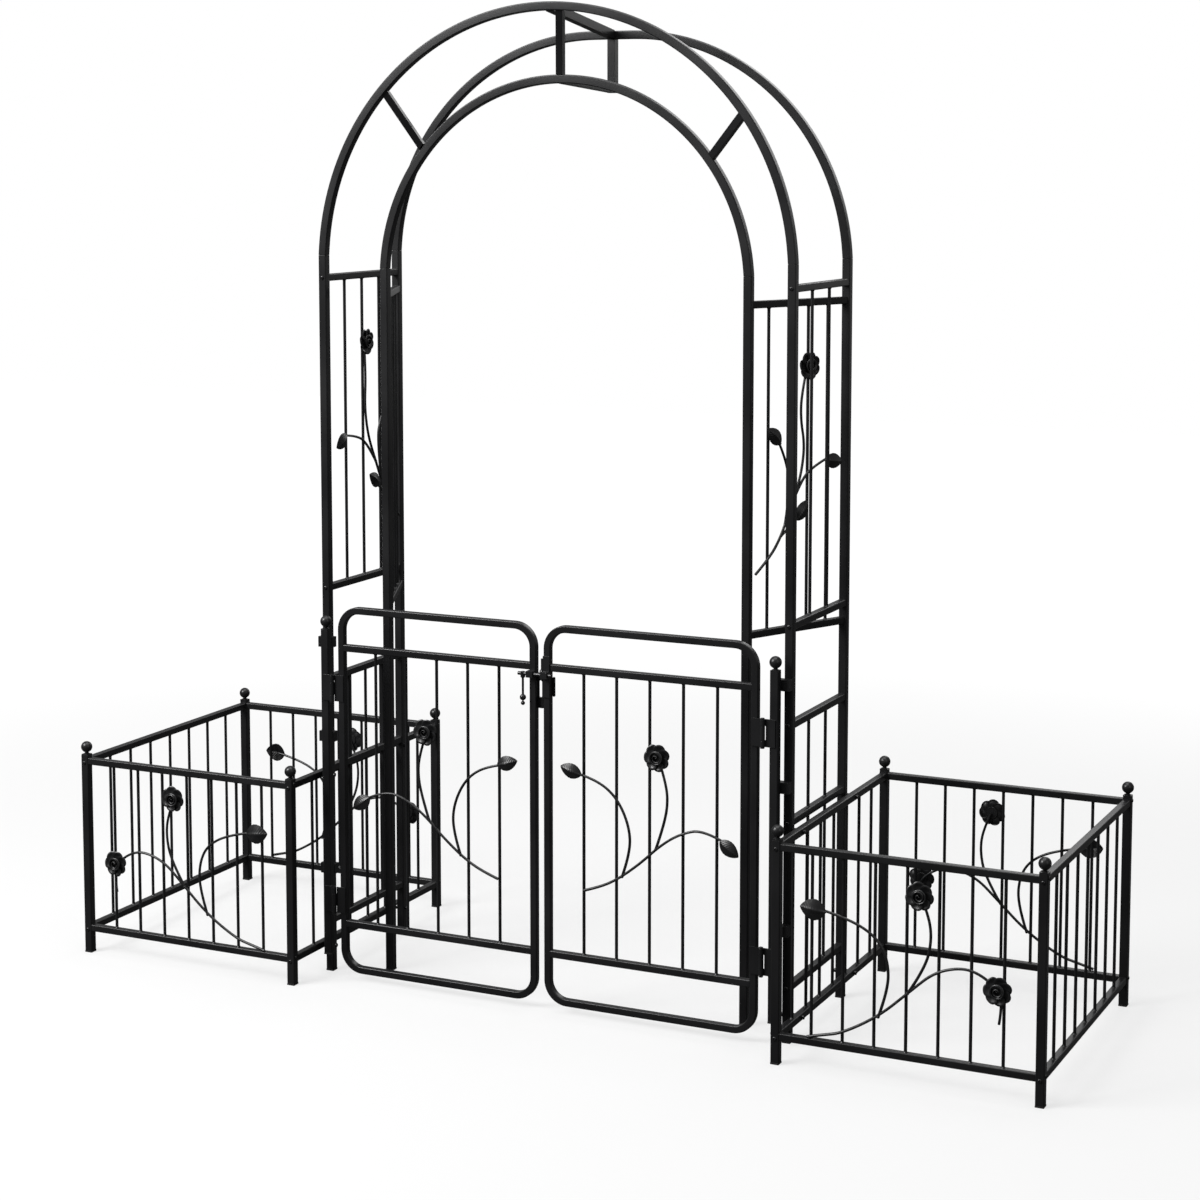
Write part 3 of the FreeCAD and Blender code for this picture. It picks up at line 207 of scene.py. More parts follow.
def makeBarTree():
    # A round bar that stands on each point, with a weld bead at both ends.
    tree, given = startTree("weldedBars", (("Height", "Float"), ("Radius", "Float"), ("Bead", "Float"),
                                           ("Bead height", "Float")))
    bar = addNode(tree, "GeometryNodeMeshCylinder", None, {
        "Vertices": weldLook["around"], "Radius": given["Radius"], "Depth": given["Height"]})
    half = addNode(tree, "ShaderNodeMath", {"operation": "MULTIPLY"}, {0: given["Height"], 1: 0.5})
    middle = addNode(tree, "ShaderNodeCombineXYZ", None, {"Z": half.outputs[0]})
    top = addNode(tree, "ShaderNodeCombineXYZ", None, {"Z": given["Height"]})
    raised = addNode(tree, "GeometryNodeTransform", None, {
        "Geometry": bar.outputs["Mesh"], "Translation": middle.outputs[0]})
    bead = addNode(tree, "GeometryNodeMeshCone", None, {
        "Vertices": weldLook["around"], "Radius Top": given["Radius"], "Radius Bottom": given["Bead"],
        "Depth": given["Bead height"]})
    upper = addNode(tree, "GeometryNodeTransform", None, {
        "Geometry": bead.outputs["Mesh"], "Translation": top.outputs[0], "Rotation": (math.pi, 0, 0)})
    whole = addNode(tree, "GeometryNodeJoinGeometry")
    for part in (raised.outputs["Geometry"], bead.outputs["Mesh"], upper.outputs["Geometry"]):
        tree.links.new(part, whole.inputs["Geometry"])
    copies = addNode(tree, "GeometryNodeInstanceOnPoints", None, {
        "Points": given["Geometry"], "Instance": whole.outputs["Geometry"]})
    return endTree(tree, copies.outputs["Instances"])


def makeCopyTree():
    # A copy of another object on each point, turned and sized by the point's own values.
    tree, given = startTree("copiesOnPoints", (("Pattern", "Object"),))
    pattern = addNode(tree, "GeometryNodeObjectInfo", None, {"Object": given["Pattern"], "As Instance": True})
    turn = addNode(tree, "GeometryNodeInputNamedAttribute", {"data_type": "FLOAT_VECTOR"}, {"Name": "turn"})
    grow = addNode(tree, "GeometryNodeInputNamedAttribute", {"data_type": "FLOAT"}, {"Name": "grow"})
    copies = addNode(tree, "GeometryNodeInstanceOnPoints", None, {
        "Points": given["Geometry"], "Instance": pattern.outputs["Geometry"],
        "Rotation": turn.outputs["Attribute"], "Scale": grow.outputs["Attribute"]})
    return endTree(tree, copies.outputs["Instances"])


def grown(tree, source, sizes):
    # Runs a tree on a source mesh and gives the result as a plain mesh.
    piece = place(tree.name, source)
    modifier = piece.modifiers.new(tree.name, "NODES")
    modifier.node_group = tree
    for socket in tree.interface.items_tree:
        if socket.in_out == "INPUT" and socket.name in sizes:
            modifier[socket.identifier] = sizes[socket.name]
    return plainMesh(piece)


tubeTree = makeTubeTree()
barTree = makeBarTree()
copyTree = makeCopyTree()
print("trees:", tubeTree.name, barTree.name, copyTree.name)


def tube(points, side, closed=False):
    count = len(points)
    edges = [(number, number + 1) for number in range(count - 1)]
    if closed:
        edges.append((count - 1, 0))
    return grown(tubeTree, meshOf(points, edges), {"Side": side, "Corner": tubeLook["corner"]})


def bars(points, height, radius):
    return grown(barTree, meshOf(points), {
        "Height": height, "Radius": radius, "Bead": weldLook["bead"], "Bead height": weldLook["height"]})


def copies(patternMesh, spots):
    # A spot is a place, a turn as Euler angles and a scale.
    pattern = place("pattern", patternMesh)
    points = meshOf([spot[0] for spot in spots])
    turns = points.attributes.new("turn", "FLOAT_VECTOR", "POINT")
    turns.data.foreach_set("vector", [value for spot in spots for value in spot[1]])
    scales = points.attributes.new("grow", "FLOAT", "POINT")
    scales.data.foreach_set("value", [spot[2] for spot in spots])
    mesh = grown(copyTree, points, {"Pattern": pattern})
    bpy.data.objects.remove(pattern)
    return mesh


def joinedMesh(meshes):
    shape = bmesh.new()
    for mesh in meshes:
        shape.from_mesh(mesh)
        bpy.data.meshes.remove(mesh)
    whole = bpy.data.meshes.new("joined")
    shape.to_mesh(whole)
    shape.free()
    return whole


# Angles in degrees: edges sharper than these are rounded, or keep a crease in the shading.
finishLook = {"edgeAngle": 50, "edgeSegments": 2, "smoothAngle": 38, "flowerAngle": 50}


def finishPiece(node, meshes, endEdge=0.0, edgeAngle=finishLook["edgeAngle"],
                smoothAngle=finishLook["smoothAngle"]):
    # Joins meshes to the piece that stands for a node. Large flat faces set the normals beside them.
    whole = joinedMesh(meshes)
    if endEdge:
        piece = place("edged", whole)
        bevel = piece.modifiers.new("bevel", "BEVEL")
        bevel.width = endEdge
        bevel.segments = finishLook["edgeSegments"]
        bevel.limit_method = "ANGLE"
        bevel.angle_limit = math.radians(edgeAngle)
        whole = plainMesh(piece)
    whole.shade_smooth()
    whole.set_sharp_from_angle(angle=math.radians(smoothAngle))
    piece = place("weighted", whole)
    normals = piece.modifiers.new("normals", "WEIGHTED_NORMAL")
    normals.keep_sharp = True
    whole = plainMesh(piece)
    whole.name = pieceName(node)
    whole.materials.clear()
    whole.materials.append(materialOf[slotOf[node]])
    piece = place(pieceName(node), whole)
    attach(piece, bodyOf[node])
    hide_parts(node)


softLook = {"mergeWithin": 0.01 * mm, "flatAngle": 0.5, "edgeAngle": 40}


def softened(node, width):
    # A copy of a node with its flat faces joined and its edges rounded.
    shape = bmesh.new()
    shape.from_mesh(frame["nodes"][node].data)
    bmesh.ops.remove_doubles(shape, verts=shape.verts, dist=softLook["mergeWithin"])
    bmesh.ops.dissolve_limit(shape, angle_limit=math.radians(softLook["flatAngle"]), verts=shape.verts,
                             edges=shape.edges)
    mesh = bpy.data.meshes.new("softened")
    shape.to_mesh(mesh)
    shape.free()
    finishPiece(node, [mesh], endEdge=width, edgeAngle=softLook["edgeAngle"])


def boxOf(node):
    low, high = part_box(node)
    return Vector(low), Vector(high), (Vector(low) + Vector(high)) / 2


# Posts

postSide = boxOf("front_post_left")[1].x - boxOf("front_post_left")[0].x


def makePosts():
    count = 0
    for word, _ in sides:
        for kind in ("front", "back", "inner", "gate"):
            low, high, middle = boxOf(f"{kind}_post_{word}")
            path = [(middle.x, middle.y, low.z), (middle.x, middle.y, high.z)]
            finishPiece(f"{kind}_post_{word}", [tube(path, postSide)], tubeLook["endEdge"])
            count += 1
        low, high, _ = boxOf(f"planter_posts_{word}")
        inset = postSide / 2
        posts = []
        for x in (low.x + inset, high.x - inset):
            for y in (low.y + inset, high.y - inset):
                posts.append(tube([(x, y, low.z), (x, y, high.z)], postSide))
                count += 1
        finishPiece(f"planter_posts_{word}", posts, tubeLook["endEdge"])
    print("posts:", count)


# Arches

archLook = {"steps": 48, "spigot": 34 * mm, "jointRise": 25 * mm, "stub": 1 * mm, "leastFlat": 0.5 * mm}


def makeArches():
    # Each bow leaves its posts upright and bends over. The back one is straight at its very top.
    for node in ("front_arch", "back_arch", "inner_arch"):
        low, high, middle = boxOf(node)
        half = high.x - postSide / 2
        joint = low.z + archLook["spigot"]
        centre = joint - archLook["jointRise"]
        radius = high.z - postSide / 2 - centre
        flat = half - math.sqrt(radius ** 2 - archLook["jointRise"] ** 2)
        flat = flat if flat > archLook["leastFlat"] else 0.0
        start = math.asin(archLook["jointRise"] / radius)
        right = [(half, joint), (half, joint + archLook["stub"])]
        for step in range(1, archLook["steps"] + 1):
            angle = start + (math.pi / 2 - start) * step / archLook["steps"]
            right.append((flat + radius * math.cos(angle), centre + radius * math.sin(angle)))
        left = [(-x, z) for x, z in reversed(right if flat else right[:-1])]
        finishPiece(node, [tube([(x, middle.y, z) for x, z in right + left], postSide)], tubeLook["endEdge"])
    print("arches: 3")


# Panels: rails, round bars and square uprights, welded to one piece

panelLook = {"rail": 16 * mm, "bar": 3.5 * mm, "upright": 12 * mm, "lap": 1.2 * mm}


def panelMeshes(start, end, heights, barShares, squareShares=()):
    # Rails from start to end at each height, from the top down, and bars at shares of their length.
    start, end = Vector(start), Vector(end)
    lap = (end - start).normalized() * panelLook["lap"]
    half = panelLook["rail"] / 2
    meshes = []
    for height in heights:
        up = Vector((0, 0, height))
        meshes.append(tube([start - lap + up, end + lap + up], panelLook["rail"]))
    for upper, lower in zip(heights, heights[1:]):
        foot = Vector((0, 0, lower + half))
        tall = upper - lower - panelLook["rail"]
        spots = [start.lerp(end, share) + foot for share in barShares]
        meshes.append(bars(spots, tall, panelLook["bar"]))
        for share in squareShares:
            low = start.lerp(end, share) + foot
            meshes.append(tube([low, low + Vector((0, 0, tall))], panelLook["upright"]))
    return meshes


def evenShares(count):
    return [number / (count + 1) for number in range(1, count + 1)]


def railHeights(node, middle=()):
    low, high, _ = boxOf(node)
    return [high.z - panelLook["rail"] / 2, *middle, low.z + panelLook["rail"] / 2]


panelLayout = {
    "innerBars": 4, "planterBars": 7, "gateBars": 5, "sidePanelMiddle": 480 * mm,
    # The side panels differ from left to right.
    "sideBars": {"left": evenShares(3), "right": evenShares(2)},
    "lowBars": {"left": [0.5], "right": evenShares(2)},
    "uprights": {"left": (0.25, 0.75), "right": ()},
}


def makePanels():
    for word, _ in sides:
        for node, shares, squares, middle in (
                (f"side_trellis_{word}", panelLayout["sideBars"][word], (), ()),
                (f"side_panel_{word}", panelLayout["lowBars"][word], panelLayout["uprights"][word],
                 (panelLayout["sidePanelMiddle"],)),
                (f"planter_outer_{word}", evenShares(panelLayout["planterBars"]), (), ()),
                (f"planter_inner_{word}", evenShares(panelLayout["planterBars"]), (), ())):
            low, high, centre = boxOf(node)
            ends = ((centre.x, low.y, 0), (centre.x, high.y, 0))
            finishPiece(node, panelMeshes(*ends, railHeights(node, middle), shares, squares))
        for node, count in ((f"planter_front_{word}", panelLayout["planterBars"]),
                            (f"planter_back_{word}", panelLayout["planterBars"]),
                            (f"gate_infill_{word}", panelLayout["gateBars"])):
            low, high, centre = boxOf(node)
            ends = ((low.x, centre.y, 0), (high.x, centre.y, 0))
            finishPiece(node, panelMeshes(*ends, railHeights(node), evenShares(count)))
        node = f"inner_trellis_{word}"
        inner = boxOf(f"inner_post_{word}")[2]
        back = boxOf(f"back_post_{word}")[2]
        ends = ((inner.x, inner.y, 0), (back.x, back.y, 0))
        finishPiece(node, panelMeshes(*ends, railHeights(node), evenShares(panelLayout["innerBars"])))
    print("panels: 16")


# Gate frames: one tube bent round and welded shut

gateLook = {"tube": 16 * mm, "bend": 46 * mm, "bendSteps": 12}


def makeGateFrames():
    for word, _ in sides:
        node = f"gate_frame_{word}"
        low, high, centre = boxOf(node)
        inset = gateLook["tube"] / 2 + gateLook["bend"]
        corners = ((high.x - inset, low.z + inset, -90), (high.x - inset, high.z - inset, 0),
                   (low.x + inset, high.z - inset, 90), (low.x + inset, low.z + inset, 180))
        path = []
        for x, z, first in corners:
            for step in range(gateLook["bendSteps"] + 1):
                angle = math.radians(first + 90 * step / gateLook["bendSteps"])
                path.append((x + gateLook["bend"] * math.cos(angle), centre.y,
                             z + gateLook["bend"] * math.sin(angle)))
        finishPiece(node, [tube(path, gateLook["tube"], closed=True)])
    print("gate frames: 2")


# Turned pieces: finials, screw heads and the latch bolt

def turned(profile, steps):
    # Turns (radius, height) points about Z. A radius of 0 is a pole.
    points, rings, faces = [], [], []
    for radius, height in profile:
        if radius == 0:
            rings.append([len(points)])
            points.append((0, 0, height))
            continue
        rings.append(list(range(len(points), len(points) + steps)))
        for step in range(steps):
            angle = 2 * math.pi * step / steps
            points.append((radius * math.cos(angle), radius * math.sin(angle), height))
    for lower, upper in zip(rings, rings[1:]):
        for step in range(max(len(lower), len(upper))):
            after = step + 1
            corners = [lower[step % len(lower)], lower[after % len(lower)],
                       upper[after % len(upper)], upper[step % len(upper)]]
            faces.append(list(dict.fromkeys(corners)))
    return meshOf(points, (), faces)


def arcProfile(radius, centreHeight, fromAngle, toAngle, steps):
    # Points of a ball's outline, with angles in degrees from straight down.
    found = []
    for step in range(steps + 1):
        angle = math.radians(fromAngle + (toAngle - fromAngle) * step / steps)
        found.append((max(0.0, radius * math.sin(angle)), centreHeight - radius * math.cos(angle)))
    return found


finialLook = {
    "ball": 13.2 * mm, "neck": 5 * mm, "neckHeight": 7 * mm, "collar": 7.5 * mm,
    "plate": 2 * mm, "plateSunk": 0.5,
    # Outlines of collar and neck: what is added to their radius, and the height above the plate.
    "collarOutline": ((0, 0.6 * mm), (-0.7 * mm, 1.4 * mm)),
    "neckOutline": ((0.4 * mm, 1.9 * mm), (-0.6 * mm, 3 * mm)),
    "arcSteps": 22, "around": 40,
}


def finialMesh():
    # A ball on a waisted neck with a small collar, over the post's closing plate.
    ball, neck = finialLook["ball"], finialLook["neck"]
    plate, collar = finialLook["plate"], finialLook["collar"]
    seat = plate * finialLook["plateSunk"]
    centre = plate + finialLook["neckHeight"] / 2 + ball
    leave = math.degrees(math.asin(neck / ball))
    profile = [(0, seat), (collar, seat)]
    profile += [(collar + more, plate + height) for more, height in finialLook["collarOutline"]]
    profile += [(neck + more, plate + height) for more, height in finialLook["neckOutline"]]
    profile += arcProfile(ball, centre, leave, 180, finialLook["arcSteps"])
    return turned(profile, finialLook["around"])


def makeFinials():
    inset = finialLook["ball"]
    half = postSide / 2
    count = 0
    low, high, _ = boxOf("planter_finials")
    posts = [boxOf(f"planter_posts_{word}") for word, _ in sides]
    tops = [(x, y, box[1].z) for box in posts
            for x in (box[0].x + half, box[1].x - half) for y in (low.y + inset, high.y - inset)]
    gates = [boxOf(f"gate_post_{word}") for word, _ in sides]
    gateTops = [(box[2].x, box[2].y, box[1].z) for box in gates]
    for node, spots in (("planter_finials", tops), ("gate_post_finials", gateTops)):
        balls = copies(finialMesh(), [(spot, (0, 0, 0), 1.0) for spot in spots])
        plates = [tube([Vector(spot), Vector(spot) + Vector((0, 0, finialLook["plate"]))], postSide)
                  for spot in spots]
        finishPiece(node, [balls, *plates])
        count += len(spots)
    print("finials:", count)


screwLook = {
    "head": 4.5 * mm, "height": 2.5 * mm, "socket": 2.2 * mm, "socketDepth": 1.3 * mm, "sunk": 0.5 * mm,
    "dome": ((1, 0.3), (0.93, 0.62), (0.76, 0.88), (0.58, 1)),  # shares of the head's radius and height
    "around": 24, "smoothAngle": 30,
    # A head is told from a shaft by its corners: how near the end they lie, and how far off the axis.
    "endZone": 1.5, "spread": 0.8,
}


def screwHeadMesh():
    # A domed head with a round socket. Its seat is the plane z = 0, and it faces +Z.
    head, height, sunk = screwLook["head"], screwLook["height"], screwLook["sunk"]
    socket, floor = screwLook["socket"], height - screwLook["socketDepth"]
    profile = [(0, -sunk), (head, -sunk)]
    profile += [(head * wide, height * high) for wide, high in screwLook["dome"]]
    profile += [(socket, height), (socket, floor), (0, floor)]
    return turned(profile, screwLook["around"])


def islands(mesh):
    # The separate solids of a loose mesh, each as the list of its corners.
    shape = bmesh.new()
    shape.from_mesh(mesh)
    bmesh.ops.remove_doubles(shape, verts=shape.verts, dist=softLook["mergeWithin"])
    waiting = set(shape.verts)
    found = []
    for first in shape.verts:
        if first not in waiting:
            continue
        waiting.remove(first)
        island, edge = [first], [first]
        while edge:
            corner = edge.pop()
            for link in corner.link_edges:
                other = link.other_vert(corner)
                if other in waiting:
                    waiting.remove(other)
                    island.append(other)
                    edge.append(other)
        found.append([corner.co.copy() for corner in island])
    shape.free()
    return found


def makeScrewHeads():
    # Each screw lies along X or Y, and its head is the end where its corners spread widest.
    spots = []
    for corners in islands(frame["nodes"]["panel_screws"].data):
        low = Vector(map(min, zip(*corners)))
        high = Vector(map(max, zip(*corners)))
        axis = 0 if high.x - low.x > high.y - low.y else 1
        middle = (low + high) / 2
        reach = screwLook["height"] * screwLook["endZone"]
        wideAtHigh = any(abs(corner.z - middle.z) > screwLook["head"] * screwLook["spread"]
                         for corner in corners if corner[axis] > high[axis] - reach)
        way = 1 if wideAtHigh else -1
        seat = middle.copy()
        seat[axis] = (high[axis] if way > 0 else low[axis]) - way * screwLook["height"]
        facing = Vector((way, 0, 0)) if axis == 0 else Vector((0, way, 0))
        spots.append((seat, Vector((0, 0, 1)).rotation_difference(facing).to_euler(), 1.0))
    finishPiece("panel_screws", [copies(screwHeadMesh(), spots)], smoothAngle=screwLook["smoothAngle"])
    print("screw heads:", len(spots))


latchLook = {
    "radius": 4 * mm, "edge": 0.8 * mm, "handle": 2.5 * mm, "inset": 12 * mm, "around": 32,
    "ball": 7 * mm, "ballSteps": 20, "drop": 53 * mm, "waist": 1.8 * mm,
    "bud": 4.6 * mm, "budSteps": 14, "budDrop": 13 * mm,
    # The collar ends above the bolt in a rim, and its wall, its eased foot and its neck reach below the bolt.
    "collar": 5.2 * mm, "collarEase": 1 * mm, "rim": 0.8 * mm, "wall": 4 * mm, "foot": 5 * mm, "neck": 6 * mm,
}


def makeLatchBolt():
    # A round bolt with eased ends, and a handle that hangs from a collar and ends in two balls.
    low, high, _ = boxOf("latch_bolt")
    radius, edge = latchLook["radius"], latchLook["edge"]
    height = high.z - radius
    line = (low.y + high.y) / 2
    length = high.x - low.x
    rod = turned([(0, 0), (radius - edge, 0), (radius, edge), (radius, length - edge),
                  (radius - edge, length), (0, length)], latchLook["around"])
    moved(rod, Matrix.Translation((low.x, line, height)) @ Matrix.Rotation(math.radians(90), 4, "Y"))
    ball, bud, handle = latchLook["ball"], latchLook["bud"], latchLook["handle"]
    drop, collar = latchLook["drop"], latchLook["collar"]
    eased, top = collar - latchLook["collarEase"], radius + latchLook["rim"]
    leave = math.degrees(math.asin(handle / ball))
    thin = [math.degrees(math.asin(latchLook["waist"] / size)) for size in (bud, ball)]
    outline = arcProfile(bud, -drop - latchLook["budDrop"], 0, 180 - thin[0], latchLook["budSteps"])
    outline += arcProfile(ball, -drop, thin[1], 180 - leave, latchLook["ballSteps"])
    outline += [(handle, -latchLook["neck"] - radius), (eased, -radius - latchLook["foot"]),
                (collar, -radius - latchLook["wall"]), (collar, radius), (eased, top), (0, top)]
    hanger = turned(outline, latchLook["around"])
    moved(hanger, Matrix.Translation((low.x + latchLook["inset"], line, height)))
    finishPiece("latch_bolt", [rod, hanger])
    print("latch bolt")


# Flower work: smooth stems with roses and leaves. Each layout is a flat drawing in millimetres,
# (across, up) from a corner of its panel. A leaf's third number is the angle of its tip. Grow and
# broad are how much larger, and how much wider for their length, its leaves are than a plain leaf.

gateWork = {
    "stems": [
        [(88, 286), (128, 299), (172, 322), (226, 364), (272, 408), (318, 439), (374, 456), (428, 430)],
        [(262, 399), (282, 456), (291, 510), (283, 556), (267, 602)],
        [(182, 329), (202, 385), (199, 444), (168, 505), (118, 538), (74, 546)],
    ],
    "roses": [(267, 602)],
    "leaves": [(86, 545, 163), (414, 437, -36)],
}
planterWork = {
    "stems": [
        [(71, 71), (106, 80), (148, 90), (228, 138), (296, 202), (344, 246), (400, 264), (440, 256),
         (478, 228), (486, 196), (480, 158)],
        [(288, 194), (325, 252), (338, 312), (331, 362), (313, 401)],
        [(226, 136), (247, 196), (246, 256), (222, 302), (162, 333), (98, 345)],
    ],
    "roses": [(478, 228), (313, 401)],
    "leaves": [(112, 342, 174)],
    "grow": 1.08, "broad": 1.26,
}
sideWork = {
    "stems": [
        [(12, 128), (54, 167), (88, 211), (118, 269), (153, 333), (167, 404), (160, 475), (167, 555)],
        [(93, 221), (108, 304), (103, 362), (70, 396)],
        [(118, 269), (156, 314), (201, 338), (262, 344)],
        [(64, 180), (94, 202), (126, 222)],
    ],
    "roses": [(167, 555)],
    "leaves": [(74, 392, 147), (256, 345, -30), (112, 213, 34)],
}
innerWork = {
    "stems": [
        [(18, 131), (60, 164), (90, 202), (112, 248), (138, 300), (155, 352), (161, 404), (149, 458),
         (151, 512), (168, 573)],
        [(131, 286), (152, 322), (182, 349), (228, 366)],
        [(105, 234), (118, 300), (110, 366), (84, 412)],
        [(93, 208), (116, 222), (142, 248)],
    ],
    "roses": [(168, 573)],
    "leaves": [(86, 409, 138), (219, 364, -8), (134, 239, 51)],
}
stemLook = {"radius": 3.2 * mm, "gap": 0.2 * mm, "knot": 3.6 * mm, "taper": 0.12, "order": 3,
            "steps": 10, "sides": 14, "knotSteps": 8, "mergeWithin": 0.001 * mm}


def stemMesh(points):
    # One smooth stem in the XZ plane, a little thinner towards its far end.
    curve = bpy.data.curves.new("stem", "CURVE")
    curve.dimensions = "3D"
    curve.bevel_depth = stemLook["radius"]
    curve.bevel_resolution = stemLook["sides"] // 4
    curve.resolution_u = stemLook["steps"]
    curve.use_fill_caps = True
    spline = curve.splines.new("NURBS")
    spline.points.add(len(points) - 1)
    for number, (across, up) in enumerate(points):
        spline.points[number].co = (across * mm, 0, up * mm, 1)
        spline.points[number].radius = 1.0 - stemLook["taper"] * number / (len(points) - 1)
    spline.order_u = stemLook["order"]
    spline.use_endpoint_u = True
    mesh = plainMesh(place("stem", curve))
    shape = bmesh.new()
    shape.from_mesh(mesh)
    bmesh.ops.remove_doubles(shape, verts=shape.verts, dist=stemLook["mergeWithin"])
    bmesh.ops.recalc_face_normals(shape, faces=shape.faces)
    shape.to_mesh(mesh)
    shape.free()
    return mesh


def knotMesh(across, up):
    # The small ball of weld where a branch leaves its stem.
    mesh = turned(arcProfile(stemLook["knot"], 0, 0, 180, stemLook["knotSteps"]), stemLook["sides"])
    return moved(mesh, Matrix.Translation((across * mm, 0, up * mm)))


roseLook = {
    "thick": 1.2 * mm, "around": 32, "out": 8,
    # The ring of petals: how many, the distance of their middles, their half length and half width,
    # the height of their middles, the rise to the rim, how much the rim rolls back, and their slant.
    "petals": 7, "middle": 19.2 * mm, "long": 11.2 * mm, "wide": 13.4 * mm, "base": 2.4 * mm,
    "rise": 4.6 * mm, "dish": 1.6, "riseInside": 0.25, "roll": 3.2 * mm, "rollFrom": 0.7, "slant": 2.1 * mm,
    # How uneven the petals are: the wave of their edges, and what they stray in place and in size.
    "wave": 0.03, "waves": 3, "stray": 0.05, "strayPace": 5.1, "growth": 0.03, "growthPace": 3.7,
    # The cup is one sheet wound from the bud out, and its last turn is a round ring. Its rim rolls outward,
    # more so on the last turn. The rim's outline is in shares of the rim, down from its top and outward.
    "cupTurns": 2.35, "woundTurns": 1.35, "cupSteps": 112, "cupFrom": 3.4 * mm, "cupTo": 12.2 * mm,
    "cupLow": 3.0 * mm, "cupHigh": 11.2 * mm, "cupRise": 1.0 * mm, "cupWave": 0.3 * mm, "cupWaves": 3,
    "rim": 1.5 * mm, "rimOutline": ((1, 0), (0.3, 0.3), (0, 1), (0.3, 1.7), (1, 2)),
    "leanInside": 0.45, "leanMore": 0.55,
    # The back plate's outline, and the bud that stands on it.
    "plate": ((0, 0), (13 * mm, 0), (13.6 * mm, 0.8 * mm), (12 * mm, 3.2 * mm), (8 * mm, 4 * mm)),
    "bud": 2.2 * mm, "budHigh": 10.5 * mm, "budDome": 0.2, "budFoot": (0.6 * mm, 4.6 * mm),
    "budTurns": (0, 0.4, 0.8, 1.2), "budAround": 28,
    # How a rose is turned about its own axis, and how much more the next one of the same panel.
    "firstTurn": 0.4, "turnEach": 1.3,
}


def petalMesh(angle, size):
    # A round petal, dished towards its rim, which rolls back. One side lies over the next petal.
    rows = []
    around = roseLook["around"]
    inside, rollFrom = roseLook["riseInside"], roseLook["rollFrom"]
    for row in range(roseLook["out"] + 1):
        share = row / roseLook["out"]
        points = []
        for step in range(around if row else 1):
            turn = 2 * math.pi * step / around
            wave = 1 + roseLook["wave"] * math.cos(roseLook["waves"] * turn + angle)
            along = roseLook["long"] * size * share * math.cos(turn) * wave
            across = roseLook["wide"] * share * math.sin(turn)
            outward = 0.5 + 0.5 * math.cos(turn)
            rise = inside + (1 - inside) * outward
            high = roseLook["base"] + roseLook["rise"] * share ** roseLook["dish"] * rise
            high -= roseLook["roll"] * (max(0.0, share - rollFrom) / (1 - rollFrom)) ** 2 * outward
            high += roseLook["slant"] * share * math.sin(turn)
            reach = roseLook["middle"] + along
            points.append((reach * math.cos(angle) - across * math.sin(angle),
                           reach * math.sin(angle) + across * math.cos(angle), high))
        rows.append(points)
    faces = [(0, 1 + step, 1 + (step + 1) % around) for step in range(around)]
    for row in range(roseLook["out"] - 1):
        near, far = 1 + row * around, 1 + (row + 1) * around
        faces += [(near + step, far + step, far + (step + 1) % around, near + (step + 1) % around)
                  for step in range(around)]
    return thickened(meshOf([point for points in rows for point in points], (), faces), roseLook["thick"])


def thickened(mesh, thick):
    piece = place("sheet", mesh)
    solid = piece.modifiers.new("thickness", "SOLIDIFY")
    solid.thickness = thick
    solid.offset = 0
    return plainMesh(piece)


def sheetMesh(points, columns, thick):
    # A grid of points, given a thickness.
    rows = len(points) // columns
    faces = [(row * columns + column, row * columns + column + 1, (row + 1) * columns + column + 1,
              (row + 1) * columns + column)
             for row in range(rows - 1) for column in range(columns - 1)]
    return thickened(meshOf(points, (), faces), thick)


def roseMesh():
    # Broad petals round a wound cup with a bud in it. Its back is the plane z = 0, and it faces +Z.
    meshes = []
    for number in range(roseLook["petals"]):
        angle = 2 * math.pi * number / roseLook["petals"]
        angle += roseLook["stray"] * math.sin(roseLook["strayPace"] * number)
        size = 1 + roseLook["growth"] * math.sin(roseLook["growthPace"] * number + 1)
        meshes.append(petalMesh(angle, size))
    points = []
    rim, low = roseLook["rim"], roseLook["cupLow"]
    for step in range(roseLook["cupSteps"] + 1):
        turns = roseLook["cupTurns"] * step / roseLook["cupSteps"]
        angle = 2 * math.pi * turns
        share = min(1.0, turns / roseLook["woundTurns"])
        radius = roseLook["cupFrom"] + (roseLook["cupTo"] - roseLook["cupFrom"]) * share
        high = roseLook["cupHigh"] + roseLook["cupRise"] * (1 - share)
        high -= roseLook["cupWave"] * math.cos(roseLook["cupWaves"] * angle) * share
        # From the foot of the wall up, over the rim and down on its outer side.
        wall = [(low, 0), *((high - rim * down, rim * out) for down, out in roseLook["rimOutline"])]
        for height, lean in wall:
            away = radius + lean * (roseLook["leanInside"] + roseLook["leanMore"] * share)
            points.append((away * math.cos(angle), away * math.sin(angle), height))
    meshes.append(sheetMesh(points, len(wall), roseLook["thick"]))
    bud, tall, dome = roseLook["bud"], roseLook["budHigh"], roseLook["budDome"]
    wider, foot = roseLook["budFoot"]
    outline = [*roseLook["plate"], (bud + wider, foot)]
    outline += [(bud * math.cos(turn), tall * (1 - dome + dome * math.sin(turn)))
                for turn in roseLook["budTurns"]]
    outline.append((0, tall))
    meshes.append(turned(outline, roseLook["budAround"]))
    return joinedMesh(meshes)


